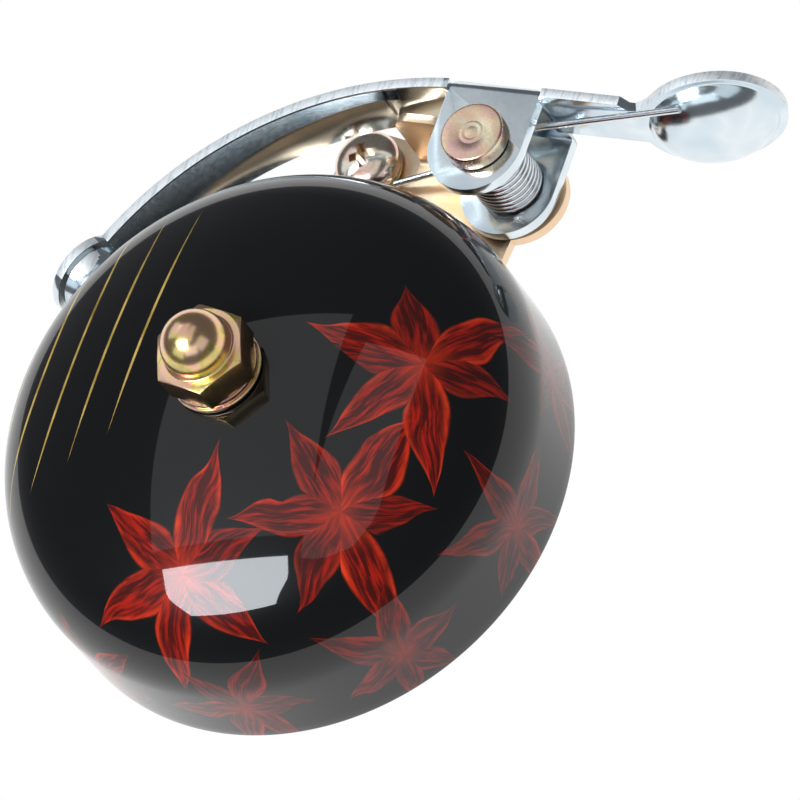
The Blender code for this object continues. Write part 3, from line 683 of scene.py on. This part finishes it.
def make_dome():
    edge = DOME_WALL * 0.30
    outer = dome_outline(0.0)
    for step in range(1, 9):
        outer.append((DOME_RADIUS, SIDE_HEIGHT - (SIDE_HEIGHT - edge) * step / 8))
    lip = [(DOME_RADIUS - edge + edge * math.cos(t), edge - edge * math.sin(t))
           for t in [math.radians(90 * k / 5) for k in range(1, 6)]]
    inner_wall = DOME_RADIUS - DOME_WALL
    inner_lip = [(inner_wall + edge - edge * math.sin(t), edge - edge * math.cos(t))
                 for t in [math.radians(90 * k / 5) for k in range(0, 6)]]
    inner = dome_outline(DOME_WALL)
    profile = outer + lip + inner_lip + inner[::-1]
    steps = 256
    dome = turned("painted_dome", profile, steps=steps, closed=True)
    count = len(outer) + len(lip)
    flat = dome.data.attributes.new("flat", "FLOAT_VECTOR", "POINT")
    walked = [profile[0][0]]
    for here, after in zip(profile, profile[1:]):
        walked.append(walked[-1] + math.dist(here, after))
    for index, vert in enumerate(dome.data.vertices):
        along = walked[min(index // steps, count - 1)] / MM
        turn = math.atan2(vert.co.y, vert.co.x)
        flat.data[index].vector = (along * math.cos(turn), along * math.sin(turn), 0.0)
    smooth(dome, 60)
    dome.location = (DOME.x, DOME.y, RIM_Z)
    finish_piece(dome, "bracket", "black_lacquer", [LACQUER, INSIDE], "bell_dome")
    inner_limit = DOME_RADIUS - DOME_WALL * 0.45

    def inside(centre, normal):
        across = Vector((centre.x, centre.y)).length
        outwards = normal.x * centre.x + normal.y * centre.y
        if across < DOME_HOLE * 1.02:
            return True
        if centre.z < edge:
            return across < inner_limit
        return normal.z * SIDE_HEIGHT + outwards < 0

    mark_faces(dome, 1, inside)


# ---- cap nut and washers ----

NUT_CORNER = 4.9 * MM
NUT_HEX = 3.25 * MM
NUT_BALL = 3.4 * MM
NUT_NECK = 0.65 * MM
NUT_TURN = 21.0
NUT_CHAMFER = 0.3
NUT_FILLET = 0.3 * MM
BORE = 2.8 * MM


def make_nut():
    low = nut_low.z
    hex_top = low + NUT_HEX
    flat = NUT_CORNER * math.cos(math.radians(30))
    nut = rod("cap_nut", DOME.x, DOME.y, low, hex_top, NUT_CORNER, 6, NUT_TURN)
    drop = (NUT_CORNER - flat) * NUT_CHAMFER
    reach = NUT_CORNER + CUT_MARGIN
    below = low - 0.2 * MM
    cone = [(0.0, hex_top), (flat * 0.99, hex_top), (NUT_CORNER, hex_top - drop),
            (reach, hex_top - drop), (reach, below), (0.0, below)]
    combine_with(nut, turned("cone", cone, DOME.x, DOME.y, 160), "INTERSECT")
    soften(clean(nut), 0.10 * MM, 3, 12)
    ball_z = hex_top + NUT_NECK
    profile = [(0.0, ball_z + NUT_BALL)]
    for step in range(1, 25):
        turn = math.radians(90 * step / 24)
        profile.append((NUT_BALL * math.sin(turn), ball_z + NUT_BALL * math.cos(turn)))
    fillet = NUT_FILLET
    for step in range(7):
        turn = math.radians(90 * step / 6)
        profile.append((NUT_BALL + fillet - fillet * math.cos(turn),
                        hex_top + fillet - fillet * math.sin(turn)))
    root = hex_top - 0.3 * MM
    profile += [(NUT_BALL + fillet, root), (0.0, root)]
    combine_with(nut, turned("ball", profile, DOME.x, DOME.y, 128), "UNION")
    bolt_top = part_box("centre_bolt")[1].z
    combine_with(nut, rod("bore", DOME.x, DOME.y, low - CUT_MARGIN, bolt_top + GAP, BORE))
    smooth(clean(nut), 32)
    finish_piece(nut, "bracket", "yellow_zinc", ZINC_NUT, "acorn_nut")


def make_washers():
    for node, name in (("top_washer", "flat_washer_top"), ("seat_washer", "seat_washer_fine"),
                       ("spacer_tube", "spacer_tube_fine"), ("pivot_washer", "pivot_washer_fine"),
                       ("clamp_washer", "clamp_washer_fine")):
        low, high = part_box(node)
        inner = min(math.hypot(v.co.x - (low.x + high.x) / 2, v.co.y - (low.y + high.y) / 2)
                    for v in nodes[node].data.vertices)
        piece = ring(name, (low.x + high.x) / 2, (low.y + high.y) / 2, low.z, high.z, inner,
                     (high.x - low.x) / 2)
        smooth(piece, 30)
        finish_piece(piece, "bracket", "yellow_zinc", ZINC, node)
    low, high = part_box("lock_washer")
    lock = ring("lock_washer_fine", DOME.x, DOME.y, low.z, high.z, BORE, (high.x - low.x) / 2)
    slit = box("slit", (0, -0.3 * MM, -4 * MM), (8 * MM, 0.3 * MM, 4 * MM))
    slit.location = (DOME.x, DOME.y, (low.z + high.z) / 2)
    slit.rotation_euler = (math.radians(30), 0, math.radians(200))
    combine_with(lock, slit)
    smooth(clean(lock), 30)
    finish_piece(lock, "bracket", "yellow_zinc", ZINC, "lock_washer")


make_dome()
make_nut()
make_washers()


# ---- base bracket ----

TAB_WIDTH = 6.0 * MM
TAB_HEIGHT = 9.3 * MM
TAB_THICKNESS = 0.9 * MM
TAB_CORNER = 1.9 * MM
TAB_BEND = 0.7 * MM
TAB_FOOT = 3.0 * MM
TAB_X = DOME.x + 0.6 * MM
TAB_OUTER_Y = DOME.y + 37.9 * MM
BRACKET_THICKNESS = 1.1 * MM
BRACKET_TOP = BRACKET_BOTTOM + BRACKET_THICKNESS
BRACKET_LEFT = -6.3 * MM
DISC_RADIUS = 5.0 * MM
LOBE_RADIUS = 4.0 * MM
BOSS_RADIUS = 7.5 * MM
SHANK_HOLE = 2.3 * MM


def bracket_outline():
    points = arc(PIVOT, DISC_RADIUS, -80, 150, 64)
    points.append(Vector((TAB_X + TAB_WIDTH / 2 + 0.5 * MM, SCREW.y + 1.4 * MM)))
    points.append(Vector((TAB_X - TAB_WIDTH / 2 - 0.8 * MM, SCREW.y + 3.4 * MM)))
    points += arc(SCREW, LOBE_RADIUS, 78, 180, 28)
    points.append(Vector((BRACKET_LEFT, SCREW.y - 12.0 * MM)))
    corner = Vector((BRACKET_LEFT + LOBE_RADIUS, DOME.y - 3.0 * MM))
    points += arc(corner, LOBE_RADIUS, 180, 262, 18)
    points += arc(DOME, BOSS_RADIUS, 268, 355, 28)
    return points


def make_bracket():
    bracket = plate("base_plate", bracket_outline(), BRACKET_BOTTOM, BRACKET_TOP)
    inner_y = TAB_OUTER_Y - TAB_THICKNESS
    tab_top = BRACKET_BOTTOM + TAB_HEIGHT
    foot = inner_y - TAB_FOOT
    corner = Vector((inner_y - TAB_BEND, BRACKET_TOP + TAB_BEND))
    section = [Vector((inner_y, tab_top))] + arc(corner, TAB_BEND, 0, -90, 12)
    section += [Vector((foot, BRACKET_TOP)), Vector((foot, BRACKET_BOTTOM))]
    section += arc(corner, TAB_BEND + TAB_THICKNESS, -90, 0, 12)
    section.append(Vector((TAB_OUTER_Y, tab_top)))
    half = TAB_WIDTH / 2
    tab = plate("tab", section, TAB_X - half, TAB_X + half, "X")
    round_x = half - TAB_CORNER
    round_z = tab_top - TAB_CORNER
    face = arc(Vector((TAB_X + round_x, round_z)), TAB_CORNER, 0, 90, 20)
    face += arc(Vector((TAB_X - round_x, round_z)), TAB_CORNER, 90, 180, 20)
    face += [Vector((TAB_X - half, BRACKET_BOTTOM - 0.3 * MM)),
             Vector((TAB_X + half, BRACKET_BOTTOM - 0.3 * MM))]
    combine_with(tab, plate("trim", face, foot - 0.3 * MM, TAB_OUTER_Y + 0.3 * MM, "Y"),
                 "INTERSECT")
    combine_with(bracket, tab, "UNION")
    low = BRACKET_BOTTOM - CUT_MARGIN
    high = BRACKET_TOP + CUT_MARGIN
    for centre, radius in ((DOME, BORE), (PIVOT, SHANK_HOLE), (SCREW, SHANK_HOLE)):
        combine_with(bracket, rod("hole", centre.x, centre.y, low, high, radius))
    band_y = -(BRACKET_BOTTOM + 0.6 * MM)
    combine_with(bracket, box("slot", (-3.8 * MM, band_y - 0.9 * MM, low),
                              (3.8 * MM, band_y + 0.9 * MM, high)))
    soften(clean(bracket), 0.12 * MM, 3, 40)
    smooth(bracket, 35)
    finish_piece(bracket, "bracket", "yellow_zinc", ZINC_PLATE, "base_bracket")


make_bracket()


# ---- pivot pin and clamp screw ----

STAMPED_RINGS = [
    # radius in millimetres, share of the stamp's depth
    (0.0, 0.4), (0.60, 0.4), (0.72, 1.0), (0.84, 0.3), (1.15, 0.3), (1.27, 1.0), (1.39, 0.1),
    (2.4, 0.0),
]


def make_pin():
    head = 3.25 * MM
    head_low = pin_high.z - 1.9 * MM
    top = pin_high.z
    soft = 0.28 * MM
    stamp = 0.05 * MM
    profile = [(radius * MM, top - stamp * depth) for radius, depth in STAMPED_RINGS]
    for step in range(7):
        turn = math.radians(90 - 90 * step / 6)
        profile.append((head - soft + soft * math.cos(turn), top - soft + soft * math.sin(turn)))
    profile += [(head, head_low + 0.2 * MM), (head - 0.2 * MM, head_low)]
    shank = 2.0 * MM
    tail_top = BRACKET_BOTTOM - GAP
    tail_low = pin_low.z
    profile += [(shank, head_low), (shank, tail_top), (2.9 * MM, tail_top)]
    for step in range(9):
        turn = math.radians(90 * step / 8)
        profile.append((1.7 * MM + 1.2 * MM * math.cos(turn),
                        tail_low + (tail_top - tail_low) * 0.8 * (1 - math.sin(turn))))
    profile.append((0.0, tail_low))
    pin = turned("pivot_pin_fine", profile, PIVOT.x, PIVOT.y)
    smooth(pin, 40)
    finish_piece(pin, "bracket", "yellow_zinc", ZINC_PIN, "pivot_pin")


def make_screw():
    head = 3.4 * MM
    top = screw_high.z
    head_low = top - 2.4 * MM
    tip = screw_low.z
    side = 0.8 * MM
    crown = top - head_low - side
    shank = 2.0 * MM
    profile = [(0.0, top)]
    for step in range(1, 17):
        turn = math.radians(90 * step / 16)
        profile.append((head * math.sin(turn), head_low + side + crown * math.cos(turn)))
    profile += [(head, head_low + 0.15 * MM), (head - 0.15 * MM, head_low), (shank, head_low)]
    z = head_low - 0.6 * MM
    profile.append((shank, z))
    pitch = 0.7 * MM
    while z > tip + 1.2 * MM:
        profile += [(shank - 0.32 * MM, z - pitch * 0.5), (shank, z - pitch)]
        z -= pitch
    profile += [(shank - 0.5 * MM, tip), (0.0, tip)]
    screw = turned("clamp_screw_fine", profile, SCREW.x, SCREW.y, 72)
    for turn in (25.0, 115.0):
        wide, long = 0.45 * MM, 1.8 * MM
        cutter = plate("recess", [(-long, -wide), (long, -wide), (long, wide), (-long, wide)],
                       top - 1.2 * MM, top + CUT_MARGIN)
        bm = bmesh.new()
        bm.from_mesh(cutter.data)
        for vert in bm.verts:
            if vert.co.z < top:
                vert.co.x *= 0.55
        bm.to_mesh(cutter.data)
        bm.free()
        cutter.location = (SCREW.x, SCREW.y, 0)
        cutter.rotation_euler.z = math.radians(turn)
        combine_with(screw, cutter)
    smooth(clean(screw), 35)
    finish_piece(screw, "bracket", "yellow_zinc", ZINC_SCREW, "clamp_screw")


make_pin()
make_screw()


# ---- return spring ----

def make_spring():
    wire = 0.36 * MM
    mid = 3.05 * MM
    turns = 7
    low_z = RIM_Z - 0.94 * MM
    high_z = RIM_Z + 4.0 * MM
    lower_angle, upper_angle = 107.0, 96.5
    total = 360.0 * turns - (upper_angle - lower_angle)
    lower_end = Vector((DOME.x - 3.8 * MM, DOME.y + 33.7 * MM, BRACKET_TOP + 0.9 * MM))
    lower_bend = Vector((DOME.x + 3.0 * MM, DOME.y + 35.7 * MM, low_z))
    upper_end = Vector((DOME.x + 30.0 * MM, DOME.y + 39.7 * MM, RIM_Z + 8.6 * MM))
    coil = []
    count = turns * 48
    for step in range(count + 1):
        share = step / count
        around = polar(PIVOT, mid, lower_angle - total * share)
        coil.append(Vector((around.x, around.y, low_z + (high_z - low_z) * share)))

    def leg(start, end, steps):
        return [start.lerp(end, i / steps) for i in range(1, steps + 1)]

    path = [lower_end] + leg(lower_end, lower_bend, 8) + leg(lower_bend, coil[0], 6)[:-1]
    path += coil + leg(coil[-1], upper_end, 40)
    for _ in range(3):
        path = [path[0]] + [(a + b * 2 + c) / 4 for a, b, c in zip(path, path[1:], path[2:])] + [
            path[-1]]
    bm = bmesh.new()
    sides = 14
    previous = None
    normal = Vector((0, 0, 1))
    for index, point in enumerate(path):
        ahead = path[min(index + 1, len(path) - 1)] - path[max(index - 1, 0)]
        ahead.normalize()
        normal = (normal - ahead * normal.dot(ahead)).normalized()
        across = ahead.cross(normal)
        loop = [bm.verts.new(point + (normal * math.cos(a) + across * math.sin(a)) * wire)
                for a in [math.tau * k / sides for k in range(sides)]]
        if previous:
            for k in range(sides):
                j = (k + 1) % sides
                bm.faces.new((previous[k], previous[j], loop[j], loop[k]))
        else:
            bm.faces.new(loop)
        previous = loop
    bm.faces.new(previous[::-1])
    bmesh.ops.recalc_face_normals(bm, faces=bm.faces)
    spring = mesh_object("return_spring_fine", bm)
    smooth(spring, 40)
    spring.data.materials.append(STEEL_WIRE)
    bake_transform(spring)
    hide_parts("return_spring")


make_spring()


# ---- striker lever ----

SHEET = 1.0 * MM
WEB_OUTER_Y = DOME.y + 40.6 * MM
LEVER_BOTTOM = RIM_Z + 1.2 * MM
LEVER_TOP = RIM_Z + 8.3 * MM
EAR_RADIUS = 5.0 * MM
EAR_CENTRE = Vector((PIVOT.x - 0.35 * MM, PIVOT.y - 0.3 * MM))
EAR_THICKNESS = 1.2 * MM
EAR_TOP = RIM_Z + 7.4 * MM
EAR_BOTTOM = RIM_Z - 2.6 * MM
EAR_BEND = 1.3 * MM
EAR_HOLE = 2.1 * MM
CLEVIS_STEP = 0.75 * MM
CLEVIS_OUTER_Y = WEB_OUTER_Y + CLEVIS_STEP
ARM_RISE = -0.3 * MM
# From the clevis to the hammer: angles in degrees, then millimetres.
ARM_ANGLES = (93.5, 156.0)
ARM_INSET = (0.25, 2.4)
ARM_BOTTOM = (1.6, 4.0)
ARM_FLARE = 1.5 * MM
ARM_FLARE_SHARE = 0.2
ARM_CENTRE = Vector((DOME.x + 6.4 * MM, DOME.y + 4.1 * MM))
ARM_MID = WEB_OUTER_Y - SHEET / 2 - ARM_CENTRE.y + 0.2 * MM
THUMB = Vector((DOME.x + 30.25 * MM, DOME.y + 42.7 * MM))
THUMB_Z = RIM_Z + 2.2 * MM
THUMB_TURN = 22.0
THUMB_RADIUS = 7.1 * MM
THUMB_DEPTH = 3.0 * MM
THUMB_RIM = 1.2 * MM
HAMMER_ANGLE = 150.4
HAMMER = polar(DOME, 32.7 * MM, HAMMER_ANGLE)
HAMMER_RADIUS = 4.5 * MM
HAMMER_RIM = 1.2 * MM
HAMMER_DEPTH = 2.9 * MM
HAMMER_Z = RIM_Z + 5.2 * MM


def bevel_where(obj, test, width, segments):
    bm = bmesh.new()
    bm.from_mesh(obj.data)
    edges = [e for e in bm.edges if all(test(v.co) for v in e.verts)]
    bmesh.ops.bevel(bm, geom=edges, offset=width, segments=segments, profile=0.5,
                    affect="EDGES", clamp_overlap=True)
    bm.to_mesh(obj.data)
    bm.free()


def sheet_loft(name, rows, thickness):
    bm = bmesh.new()
    grid = [[bm.verts.new(point) for point in row] for row in rows]
    for row, after in zip(grid, grid[1:]):
        for i in range(len(row) - 1):
            bm.faces.new((row[i], after[i], after[i + 1], row[i + 1]))
    bmesh.ops.recalc_face_normals(bm, faces=bm.faces)
    obj = mesh_object(name, bm)
    solid = obj.modifiers.new("sheet", "SOLIDIFY")
    solid.thickness = thickness
    solid.offset = 0.0
    solid.use_even_offset = True
    return apply_modifiers(obj)


def dish(name, centre, height, radius, rim, depth, facing, steps):
    """A round pad pressed from sheet, bulging towards the angle it faces, with a soft root."""
    bowl = radius - rim
    rough = [(radius, 0.0), (bowl, 0.0)]
    rough += [(bowl * math.cos(math.radians(t)), depth * math.sin(math.radians(t)))
              for t in range(5, 91, 5)]
    lengths = [0.0]
    for here, after in zip(rough, rough[1:]):
        lengths.append(lengths[-1] + math.dist(here, after))
    count = int(lengths[-1] / (0.12 * MM))
    mid = []
    for step in range(count + 1):
        walk = lengths[-1] * step / count
        k = next(i for i in range(1, len(rough)) if walk <= lengths[i] + 1e-9)
        share = (walk - lengths[k - 1]) / (lengths[k] - lengths[k - 1])
        mid.append(tuple(a + (b - a) * share for a, b in zip(rough[k - 1], rough[k])))
    for _ in range(24):
        mid = [mid[0]] + [tuple((a + 2 * b + c) / 4 for a, b, c in zip(*three))
                          for three in zip(mid, mid[1:], mid[2:])] + [(0.0, mid[-2][1])]
    sides = {1: [], -1: []}
    for index, point in enumerate(mid):
        before = mid[max(index - 1, 0)]
        after = mid[min(index + 1, count)]
        run = (after[0] - before[0], after[1] - before[1])
        size = math.hypot(*run)
        normal = (run[1] / size, -run[0] / size) if index < count else (0.0, 1.0)
        for side in sides:
            across = point[0] + side * normal[0] * SHEET / 2 if index < count else 0.0
            sides[side].append((across, point[1] + side * normal[1] * SHEET / 2))
    place = Matrix.Translation((centre.x, centre.y, height)) @ Matrix.Rotation(
        math.radians(facing), 4, "Z") @ Matrix.Rotation(math.radians(90), 4, "Y")
    return turned(name, sides[1] + sides[-1][::-1], steps=steps, closed=True, place=place)


def make_clevis():
    outline = arc(EAR_CENTRE, EAR_RADIUS, 180, 360, 72)
    outline += [Vector((EAR_CENTRE.x + EAR_RADIUS, CLEVIS_OUTER_Y)),
                Vector((EAR_CENTRE.x - EAR_RADIUS, CLEVIS_OUTER_Y))]
    clevis = plate("striker", outline, EAR_BOTTOM, EAR_TOP)
    rear = CLEVIS_OUTER_Y - 0.1 * MM
    bevel_where(clevis, lambda co: co.y > rear, EAR_BEND, 14)
    inner_y = CLEVIS_OUTER_Y - SHEET
    reach = EAR_RADIUS + 4 * MM
    room = plate("room", [
        Vector((PIVOT.x - reach, PIVOT.y - reach)), Vector((PIVOT.x + reach, PIVOT.y - reach)),
        Vector((PIVOT.x + reach, inner_y)), Vector((PIVOT.x - reach, inner_y)),
    ], EAR_BOTTOM + EAR_THICKNESS, EAR_TOP - EAR_THICKNESS)
    front = inner_y - 0.1 * MM
    bevel_where(room, lambda co: co.y > front, EAR_BEND - SHEET, 10)
    combine_with(clevis, room)
    combine_with(clevis, rod("ear_holes", PIVOT.x, PIVOT.y, EAR_BOTTOM - CUT_MARGIN,
                             EAR_TOP + CUT_MARGIN, EAR_HOLE))
    return clevis


def between(pair, share):
    return pair[0] + (pair[1] - pair[0]) * share


def arm_rows():
    steps = 72
    lip = 0.5 * MM
    rows = []
    for step in range(steps + 1):
        share = step / steps
        angle = math.radians(between(ARM_ANGLES, share))
        outward = Vector((math.cos(angle), math.sin(angle)))
        inset = between(ARM_INSET, share) * MM
        fall = lip + inset * 0.85 + ARM_FLARE * max(0.0, 1 - share / ARM_FLARE_SHARE)
        bottom = RIM_Z + between(ARM_BOTTOM, share) * MM
        top = LEVER_TOP + ARM_RISE * (1 - share)
        section = [(0.0, top), (0.0, top - lip), (inset, top - fall), (inset, bottom)]
        rows.append([Vector((*(ARM_CENTRE + outward * (ARM_MID - inward)), height))
                     for inward, height in section])
    return rows


def paddle_rows():
    turn = math.radians(THUMB_TURN)
    along = Vector((math.cos(turn), math.sin(turn)))
    mid_y = WEB_OUTER_Y - SHEET / 2
    clevis_side = EAR_CENTRE.x + EAR_RADIUS
    bend_at = THUMB - along * (THUMB.y - mid_y) / along.y
    pad_low = THUMB - along * (THUMB_RADIUS - THUMB_RIM * 0.9)
    pad_high = THUMB - along * THUMB_RADIUS * 0.68
    dip = 1.4 * MM
    neck = LEVER_TOP - dip
    route = [
        (Vector((clevis_side - 0.4 * MM, mid_y)), None, EAR_TOP - EAR_BEND),
        (Vector((clevis_side + 0.5 * MM, mid_y)), None, LEVER_TOP),
        (Vector((DOME.x + 23.1 * MM, mid_y)), None, LEVER_TOP),
        (bend_at, None, neck + dip * 0.25),
        (bend_at + along * 0.6 * MM, None, neck),
        (pad_low, pad_high, THUMB_Z + THUMB_RADIUS * 0.72),
    ]
    return [[Vector((*low, LEVER_BOTTOM)), Vector((*(high or low), top))]
            for low, high, top in route]


def make_lever():
    lever = make_clevis()
    combine_with(lever, sheet_loft("arm", arm_rows(), SHEET), "UNION")
    left = EAR_CENTRE.x - EAR_RADIUS
    root = box("root", (left - SHEET, WEB_OUTER_Y - SHEET * 0.95, LEVER_BOTTOM + 0.3 * MM),
               (left + SHEET, WEB_OUTER_Y - SHEET * 0.05, EAR_TOP - EAR_BEND))
    combine_with(lever, root, "UNION")
    combine_with(lever, sheet_loft("paddle", paddle_rows(), SHEET * 0.96), "UNION")
    combine_with(lever, dish("thumb", THUMB, THUMB_Z, THUMB_RADIUS, THUMB_RIM, THUMB_DEPTH,
                             THUMB_TURN - 90.0, 96), "UNION")
    combine_with(lever, dish("hammer", HAMMER, HAMMER_Z, HAMMER_RADIUS, HAMMER_RIM, HAMMER_DEPTH,
                             HAMMER_ANGLE - 180.0, 72), "UNION", tolerant=True)
    clean(lever)
    soften(lever, 0.06 * MM, 2, 42)
    smooth(lever, 32)
    finish_piece(lever, "striker", "bright_plate", [PLATE, SHEARED_HIGHLIGHT], "striker_lever")
    ear_right = EAR_CENTRE.x + EAR_RADIUS
    facing = polar(Vector((0.0, 0.0)), 1.0, THUMB_TURN - 90.0).to_3d()
    thumb_at = Vector((THUMB.x, THUMB.y, THUMB_Z))

    def cut_edge_highlight(centre, normal):
        """The edges a press cuts: tops of the arm and strip, and the rim of the thumb pad. They
        take the near-white sheared material, a painted highlight.
        """
        if centre.x < left - 0.2 * MM or ear_right + 0.4 * MM < centre.x < THUMB.x - THUMB_RADIUS:
            return normal.z > 0.8 and centre.z > RIM_Z + 5.5 * MM
        out = centre - thumb_at
        flat = out - facing * out.dot(facing)
        if centre.x < ear_right or flat.length < THUMB_RADIUS * 0.97:
            return False
        return normal.dot(flat.normalized()) > 0.8

    # Slot 1 paints a highlight along these cut edges with its near-white colour.
    mark_faces(lever, 1, cut_edge_highlight)


make_lever()


# ---- clamp band and liner ----

BAR_RADIUS = 11.1 * MM
LINER_THICKNESS = 1.3 * MM
BAND_THICKNESS = 1.2 * MM
BAND_WIDTH = 11.0 * MM
BAND_NECK_WIDTH = 7.0 * MM
BAND_BEND = 1.2 * MM
BAND_MID = BAR_RADIUS + LINER_THICKNESS + GAP + BAND_THICKNESS / 2
BAND_EAR_TOP = BRACKET_BOTTOM - 3.8 * MM
BAND_HOOK = BRACKET_TOP + GAP
HOOK_LENGTH = 4.8 * MM


def make_band():
    """The strap: hooked through the bracket, round the bar, and out to a flat ear."""
    half = BAND_THICKNESS / 2
    ear_mid = BAND_EAR_TOP - half
    hook_mid = BAND_HOOK + half
    ear_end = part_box("clamp_band")[1].y

    def strap(side):
        """One face of the strap, in (Y, Z): side is +1 for the outer face, -1 for the inner."""
        points = [Vector((-BAND_MID + HOOK_LENGTH, hook_mid + side * half))]
        points += arc(Vector((-BAND_MID + BAND_BEND, hook_mid - BAND_BEND)),
                      BAND_BEND + side * half, 90, 180, 14)
        points += arc(Vector((0.0, 0.0)), BAND_MID + side * half, 180, 360, 120)
        points += arc(Vector((BAND_MID + BAND_BEND, ear_mid - BAND_BEND)),
                      BAND_BEND - side * half, 180, 90, 14)
        return points + [Vector((ear_end, ear_mid - side * half))]

    width = BAND_WIDTH / 2
    band = plate("clamp_band_fine", strap(1) + strap(-1)[::-1], -width, width, "X")
    for side in (-1, 1):
        ends = sorted((side * BAND_NECK_WIDTH / 2, side * (width + 4 * MM)))
        combine_with(band, box("shoulder", (ends[0], -BAND_MID - 4 * MM, BRACKET_BOTTOM - 0.6 * MM),
                               (ends[1], -BAND_MID + HOOK_LENGTH + 4 * MM, hook_mid + 4 * MM)))
    combine_with(band, rod("band_hole", SCREW.x, SCREW.y, ear_mid - 4 * MM, ear_mid + 4 * MM,
                           SHANK_HOLE))
    soften(clean(band), 0.12 * MM, 2, 40)
    smooth(band, 35)
    finish_piece(band, "bracket", "yellow_zinc", ZINC_PLATE, "clamp_band")


def make_liner():
    """The split rubber sleeve inside the band."""
    outer = BAR_RADIUS + LINER_THICKNESS
    split = 1.6 * MM
    turn = 42.0
    spread_outer = math.degrees(math.asin(split / 2 / outer))
    spread_inner = math.degrees(math.asin(split / 2 / BAR_RADIUS))
    centre = Vector((0.0, 0.0))
    points = arc(centre, outer, turn + spread_outer, turn + 360 - spread_outer, 180)
    points += arc(centre, BAR_RADIUS, turn + 360 - spread_inner, turn + spread_inner, 180)
    low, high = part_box("clamp_liner")
    liner = plate("clamp_liner_fine", points, low.x, high.x, "X")
    soften(liner, 0.15 * MM, 2, 40)
    smooth(liner, 35)
    finish_piece(liner, "bracket", "rubber", RUBBER, "clamp_liner")


make_band()
make_liner()


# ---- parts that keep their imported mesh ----

for node in ("centre_bolt", "jam_nut", "square_nut"):
    nodes[node].data.materials.clear()
    nodes[node].data.materials.append(ZINC)


# ---- floor, light and world ----

FLOOR_Z = -200 * MM
FLOOR_HALF = 3.0
STUDIO_GREY = (0.115, 0.12, 0.13, 1.0)


def make_floor():
    """A plain pale sheet that glows evenly."""
    bm = bmesh.new()
    bmesh.ops.create_grid(bm, x_segments=1, y_segments=1, size=FLOOR_HALF)
    floor = mesh_object("floor", bm)
    floor.location.z = FLOOR_Z
    s = Shade("paper_white")
    s.tree.nodes.remove(s.bsdf)
    output = s.tree.nodes["Material Output"]
    glow = s.node("ShaderNodeEmission")
    glow.inputs["Color"].default_value = (1.0, 1.0, 1.0, 1.0)
    clear = s.node("ShaderNodeBsdfTransparent")
    facing = s.node("ShaderNodeNewGeometry")
    glow.inputs["Strength"].default_value = 1.0
    mix = s.node("ShaderNodeMixShader")
    s.tree.links.new(facing.outputs["Backfacing"], mix.inputs[0])
    s.tree.links.new(glow.outputs[0], mix.inputs[1])
    s.tree.links.new(clear.outputs[0], mix.inputs[2])
    s.tree.links.new(mix.outputs[0], output.inputs["Surface"])
    floor.data.materials.append(s.material)


make_floor()

world = bpy.data.worlds.new("studio")
scene.world = world
world.use_nodes = True
world.node_tree.nodes["Background"].inputs["Color"].default_value = STUDIO_GREY
world.node_tree.nodes["Background"].inputs["Strength"].default_value = 1.0


def softbox(name, centre, size, radiance, tilt, colour):
    """A rectangular lamp facing down, with its brightness as the radiance of its face."""
    data = bpy.data.lights.new(name, "AREA")
    data.shape = "RECTANGLE"
    data.size, data.size_y = size
    data.energy = radiance * math.pi * size[0] * size[1]
    data.color = colour
    lamp = link(bpy.data.objects.new(name, data))
    lamp.location = centre
    lamp.rotation_euler = [math.radians(t) for t in tilt]
    return lamp


def aimed(azimuth, elevation, distance):
    """Place and tilt of a lamp that looks at the bell from a direction, in degrees."""
    turn, rise = math.radians(azimuth), math.radians(elevation)
    place = Vector((math.cos(rise) * math.cos(turn), math.cos(rise) * math.sin(turn),
                    math.sin(rise))) * distance
    tilt = place.to_track_quat("Z", "Y").to_euler()
    return place, [math.degrees(t) for t in tilt]


HEIGHT = 0.9
WINDOW = (0.97, 0.99, 1.0)
DAYLIGHT = (0.90, 0.95, 1.0)
SKY = (0.84, 0.94, 1.0)
softbox("window_left", (-0.43 * HEIGHT, 0.22 * HEIGHT, HEIGHT), (0.74 * HEIGHT, HEIGHT), 0.55,
        (0, 0, 12), WINDOW)
softbox("window_right", (0.115 * HEIGHT, 0.18 * HEIGHT, HEIGHT), (0.26 * HEIGHT, 0.92 * HEIGHT),
        0.55, (0, 0, 4), WINDOW)
softbox("strip", (-0.27 * HEIGHT, -0.62 * HEIGHT, HEIGHT), (0.60 * HEIGHT, 0.55 * HEIGHT), 13.0,
        (0, 0, 12), DAYLIGHT)

# Lamps that only the bare metal sees, so that the lacquer stays dark.
LAMP_DISTANCE = 1.3
METAL = bpy.data.collections.new("lit_metal")
for name in ("striker", "pivot_pin_fine", "return_spring_fine", "base_plate", "clamp_screw_fine",
             "cap_nut", "lock_washer_fine", "flat_washer_top"):
    METAL.objects.link(bpy.data.objects[name])
for name, azimuth, elevation, size, radiance in (
        ("arm_near", -70.0, 42.0, (0.95, 0.60), 0.95), ("arm_end", -14.0, 42.0, (0.95, 0.75), 0.62),
        ("arm_root", -118.0, 28.0, (0.80, 0.45), 0.80), ("left", 165.0, 38.0, (0.9, 0.7), 0.75)):
    place, tilt = aimed(azimuth, elevation, LAMP_DISTANCE)
    lamp = softbox(name, place, size, radiance, tilt, SKY)
    lamp.light_linking.receiver_collection = METAL
